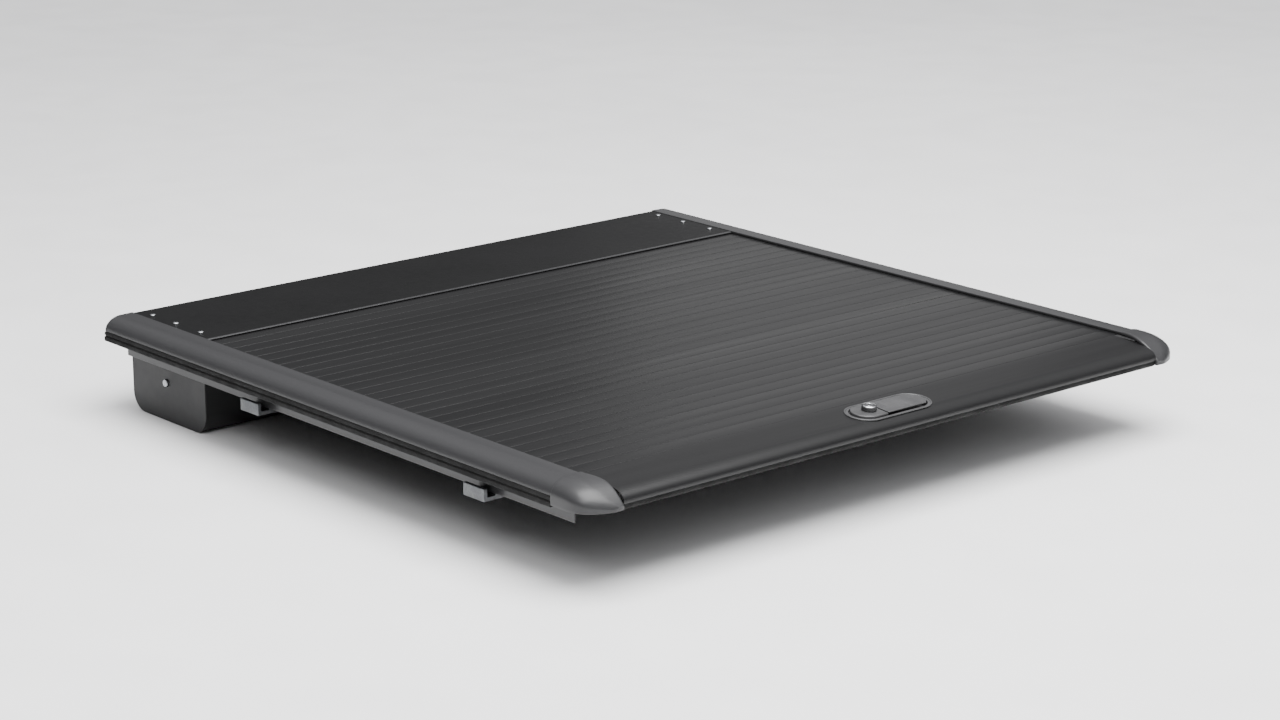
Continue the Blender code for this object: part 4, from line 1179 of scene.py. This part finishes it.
def make_brush():
    """Two rows of short bristles under the lid's rear edge, in their backing strip."""
    low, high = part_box("mouth_brush_seal")
    bm = bmesh.new()
    spacing = 0.0022
    count = int((high.x - low.x) / spacing)
    root_z = high.z - 0.0005
    for row_y in (low.y + 0.0018, low.y + 0.0042):
        for i in range(count):
            lean = noise.noise(Vector((i * 0.71, row_y * 900.0, 0.0)))
            x = low.x + spacing * (i + 0.5)
            foot = Vector((x + 0.0005 * lean, row_y - 0.0006 + 0.0004 * lean, low.z))
            top = Vector((x, row_y, root_z))
            loops = []
            for centre, half in ((top, 0.00045), (foot, 0.00025)):
                loops.append([centre + Vector((a, b, 0.0)) for a, b in rectangle(-half, -half, half, half)])
            skin(bm, loops)
    tufts = made("tufts", bm, brush_nylon)
    corner_low = (low.x, low.y, root_z - 0.0002)
    backing = box_prism("backing", corner_low, high, black_plastic, 0.0001, "X")
    stand_for(merge("mouth_brush_strip", [tufts, backing]), "mouth_brush_seal")


def make_bulkhead_seal():
    low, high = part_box("bulkhead_seal")
    outline = [(low.y, low.z), *arc((low.y + 0.0030, 0.0360), 0.0065, -70, 70, 20), (low.y, high.z)]
    strip = prism("bulkhead_seal_strip", rounded(outline, 0.0006), "X", low.x, high.x, seal_rubber)
    stand_for(strip, "bulkhead_seal")


# Roller


def make_roller():
    low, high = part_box("drum_axle")
    profile = pin_profile(AXLE_RADIUS, low.x, high.x, 0.001)
    stand_for(turned("drum_axle_rod", profile, "X", DRUM_AXIS, zinc_rod, 48), "drum_axle")
    low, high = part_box("drum_tube")
    outer = (high.z - low.z) / 2
    inside = outer - 0.0025
    tube = sleeve("drum_tube_shell", outer, inside, low.x, high.x, "X", DRUM_AXIS, aluminium)
    stand_for(tube, "drum_tube")
    for label in SIDES:
        node = f"drum_bush_{label}"
        low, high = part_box(node)
        sizes = (inside - 0.0005, AXLE_RADIUS + 0.0004, low.x, high.x)
        stand_for(sleeve(f"{node}_ring", *sizes, "X", DRUM_AXIS, black_plastic), node)


def make_spring(turns=11, steps_per_turn=28, wire_sides=10):
    """The counterbalance spring: a round wire coiled about the axle."""
    low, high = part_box("torsion_spring")
    wire = 0.0016
    coil = 0.0150
    start = low.x + wire
    pitch = (high.x - low.x - 2 * wire) / turns
    loops = []
    for i in range(turns * steps_per_turn + 1):
        angle = 2 * math.pi * i / steps_per_turn
        out = Vector((0.0, math.cos(angle), math.sin(angle)))
        along = Vector((pitch / (2 * math.pi * coil), -math.sin(angle), math.cos(angle))).normalized()
        third = along.cross(out)
        centre = Vector((start + pitch * i / steps_per_turn, *DRUM_AXIS)) + out * coil
        section = arc((0.0, 0.0), wire, 0, 360, wire_sides)[:-1]
        loops.append([centre + out * a + third * b for a, b in section])
    stand_for(loft("torsion_spring_coil", loops, spring_metal), "torsion_spring", sharp=60.0)


# Stage

CAMERA_PLACE = (-4.0767, -3.9585, 1.7308)
CAMERA_AIM = (-0.0200, 0.7300, -0.0100)
CAMERA_LENS = 91.0
FLOOR_DROP = 0.0005
SKY = ((0.0, 0.08), (0.25, 0.08), (0.45, 0.10), (0.70, 0.60), (1.0, 1.20))
SKY_BEHIND = 0.38
SKY_STRENGTH = 1.6


def aim(obj, target):
    obj.rotation_euler = (Vector(target) - Vector(obj.location)).to_track_quat("-Z", "Y").to_euler()


def soft_light(name, place, target, width, depth, power):
    light = bpy.data.lights.new(name, "AREA")
    light.shape = "RECTANGLE"
    light.size = width
    light.size_y = depth
    light.energy = power
    obj = placed(name, light)
    obj.location = place
    obj.visible_camera = False
    aim(obj, target)


def make_sky():
    """A plain grey studio dome, bright overhead and at the tailgate end, and dim at the horizon ahead."""
    world = bpy.data.worlds.new("studio")
    world.use_nodes = True
    tree = world.node_tree
    direction = add_node(tree, "ShaderNodeTexCoord", {}).outputs["Generated"]
    split = add_node(tree, "ShaderNodeSeparateXYZ", {0: direction}).outputs
    behind = add_node(tree, "ShaderNodeMath", {0: split["Y"], 1: -SKY_BEHIND}, operation="MULTIPLY")
    lift = add_node(tree, "ShaderNodeMath", {0: behind.outputs[0], 1: 0.0}, operation="MAXIMUM")
    height = add_node(tree, "ShaderNodeMath", {0: lift.outputs[0], 1: split["Z"]}, operation="ADD")
    ramp = add_node(tree, "ShaderNodeValToRGB", {0: height.outputs[0]})
    while len(ramp.color_ramp.elements) < len(SKY):
        ramp.color_ramp.elements.new(0.5)
    for element, (position, level) in zip(ramp.color_ramp.elements, SKY):
        element.position = position
        element.color = (level, level, level * 1.02, 1.0)
    feed(tree.nodes["Background"], {"Color": ramp.outputs["Color"], "Strength": SKY_STRENGTH})
    bpy.context.scene.world = world


def make_stage():
    camera = bpy.data.cameras.new("camera")
    camera.lens = CAMERA_LENS
    camera.sensor_width = 36.0
    camera.clip_end = 100.0
    eye = placed("camera", camera)
    eye.location = CAMERA_PLACE
    aim(eye, CAMERA_AIM)
    bpy.context.scene.camera = eye

    bm = bmesh.new()
    bmesh.ops.create_grid(bm, x_segments=1, y_segments=1, size=40.0)
    floor = made("floor", bm, pale_floor("pale_floor"))
    floor.location = (0.0, 0.0, cad_box[0].z - FLOOR_DROP)
    floor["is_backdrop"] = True

    make_sky()
    soft_light("overhead", (-0.2, -0.7, 4.2), (0.0, 0.3, 0.0), 4.4, 3.8, 620.0)
    soft_light("key", (-3.4, -1.2, 3.2), (-0.3, 0.5, 0.0), 1.4, 1.4, 40.0)
    soft_light("right_fill", (3.4, 3.6, 1.3), (0.6, 0.6, 0.0), 1.6, 1.2, 4.0)


def build():
    for label, side in SIDES.items():
        make_rail(label, side)
        make_rail_seal(label, side)
        make_corner_cap(label, side)
        make_striker(label)
        for where, y in zip(("rear", "front"), CLAMP_YS):
            make_clamp(label, side, where, y)
        make_bar_guide(label)
        make_latch_bolt(label, side)
    make_canister()
    make_lid()
    make_lid_screws()
    make_brush()
    make_bulkhead_seal()
    make_roller()
    make_spring()
    make_slats()
    make_rear_bar()
    make_bar_seal()
    make_bezel()
    make_paddle()
    make_lock()
    make_crank()


make_stage()
build()

visual_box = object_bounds()
boxes = {"cad": cad_box, "visual": visual_box}
{name: [list(corner) for corner in box] for name, box in boxes.items()}
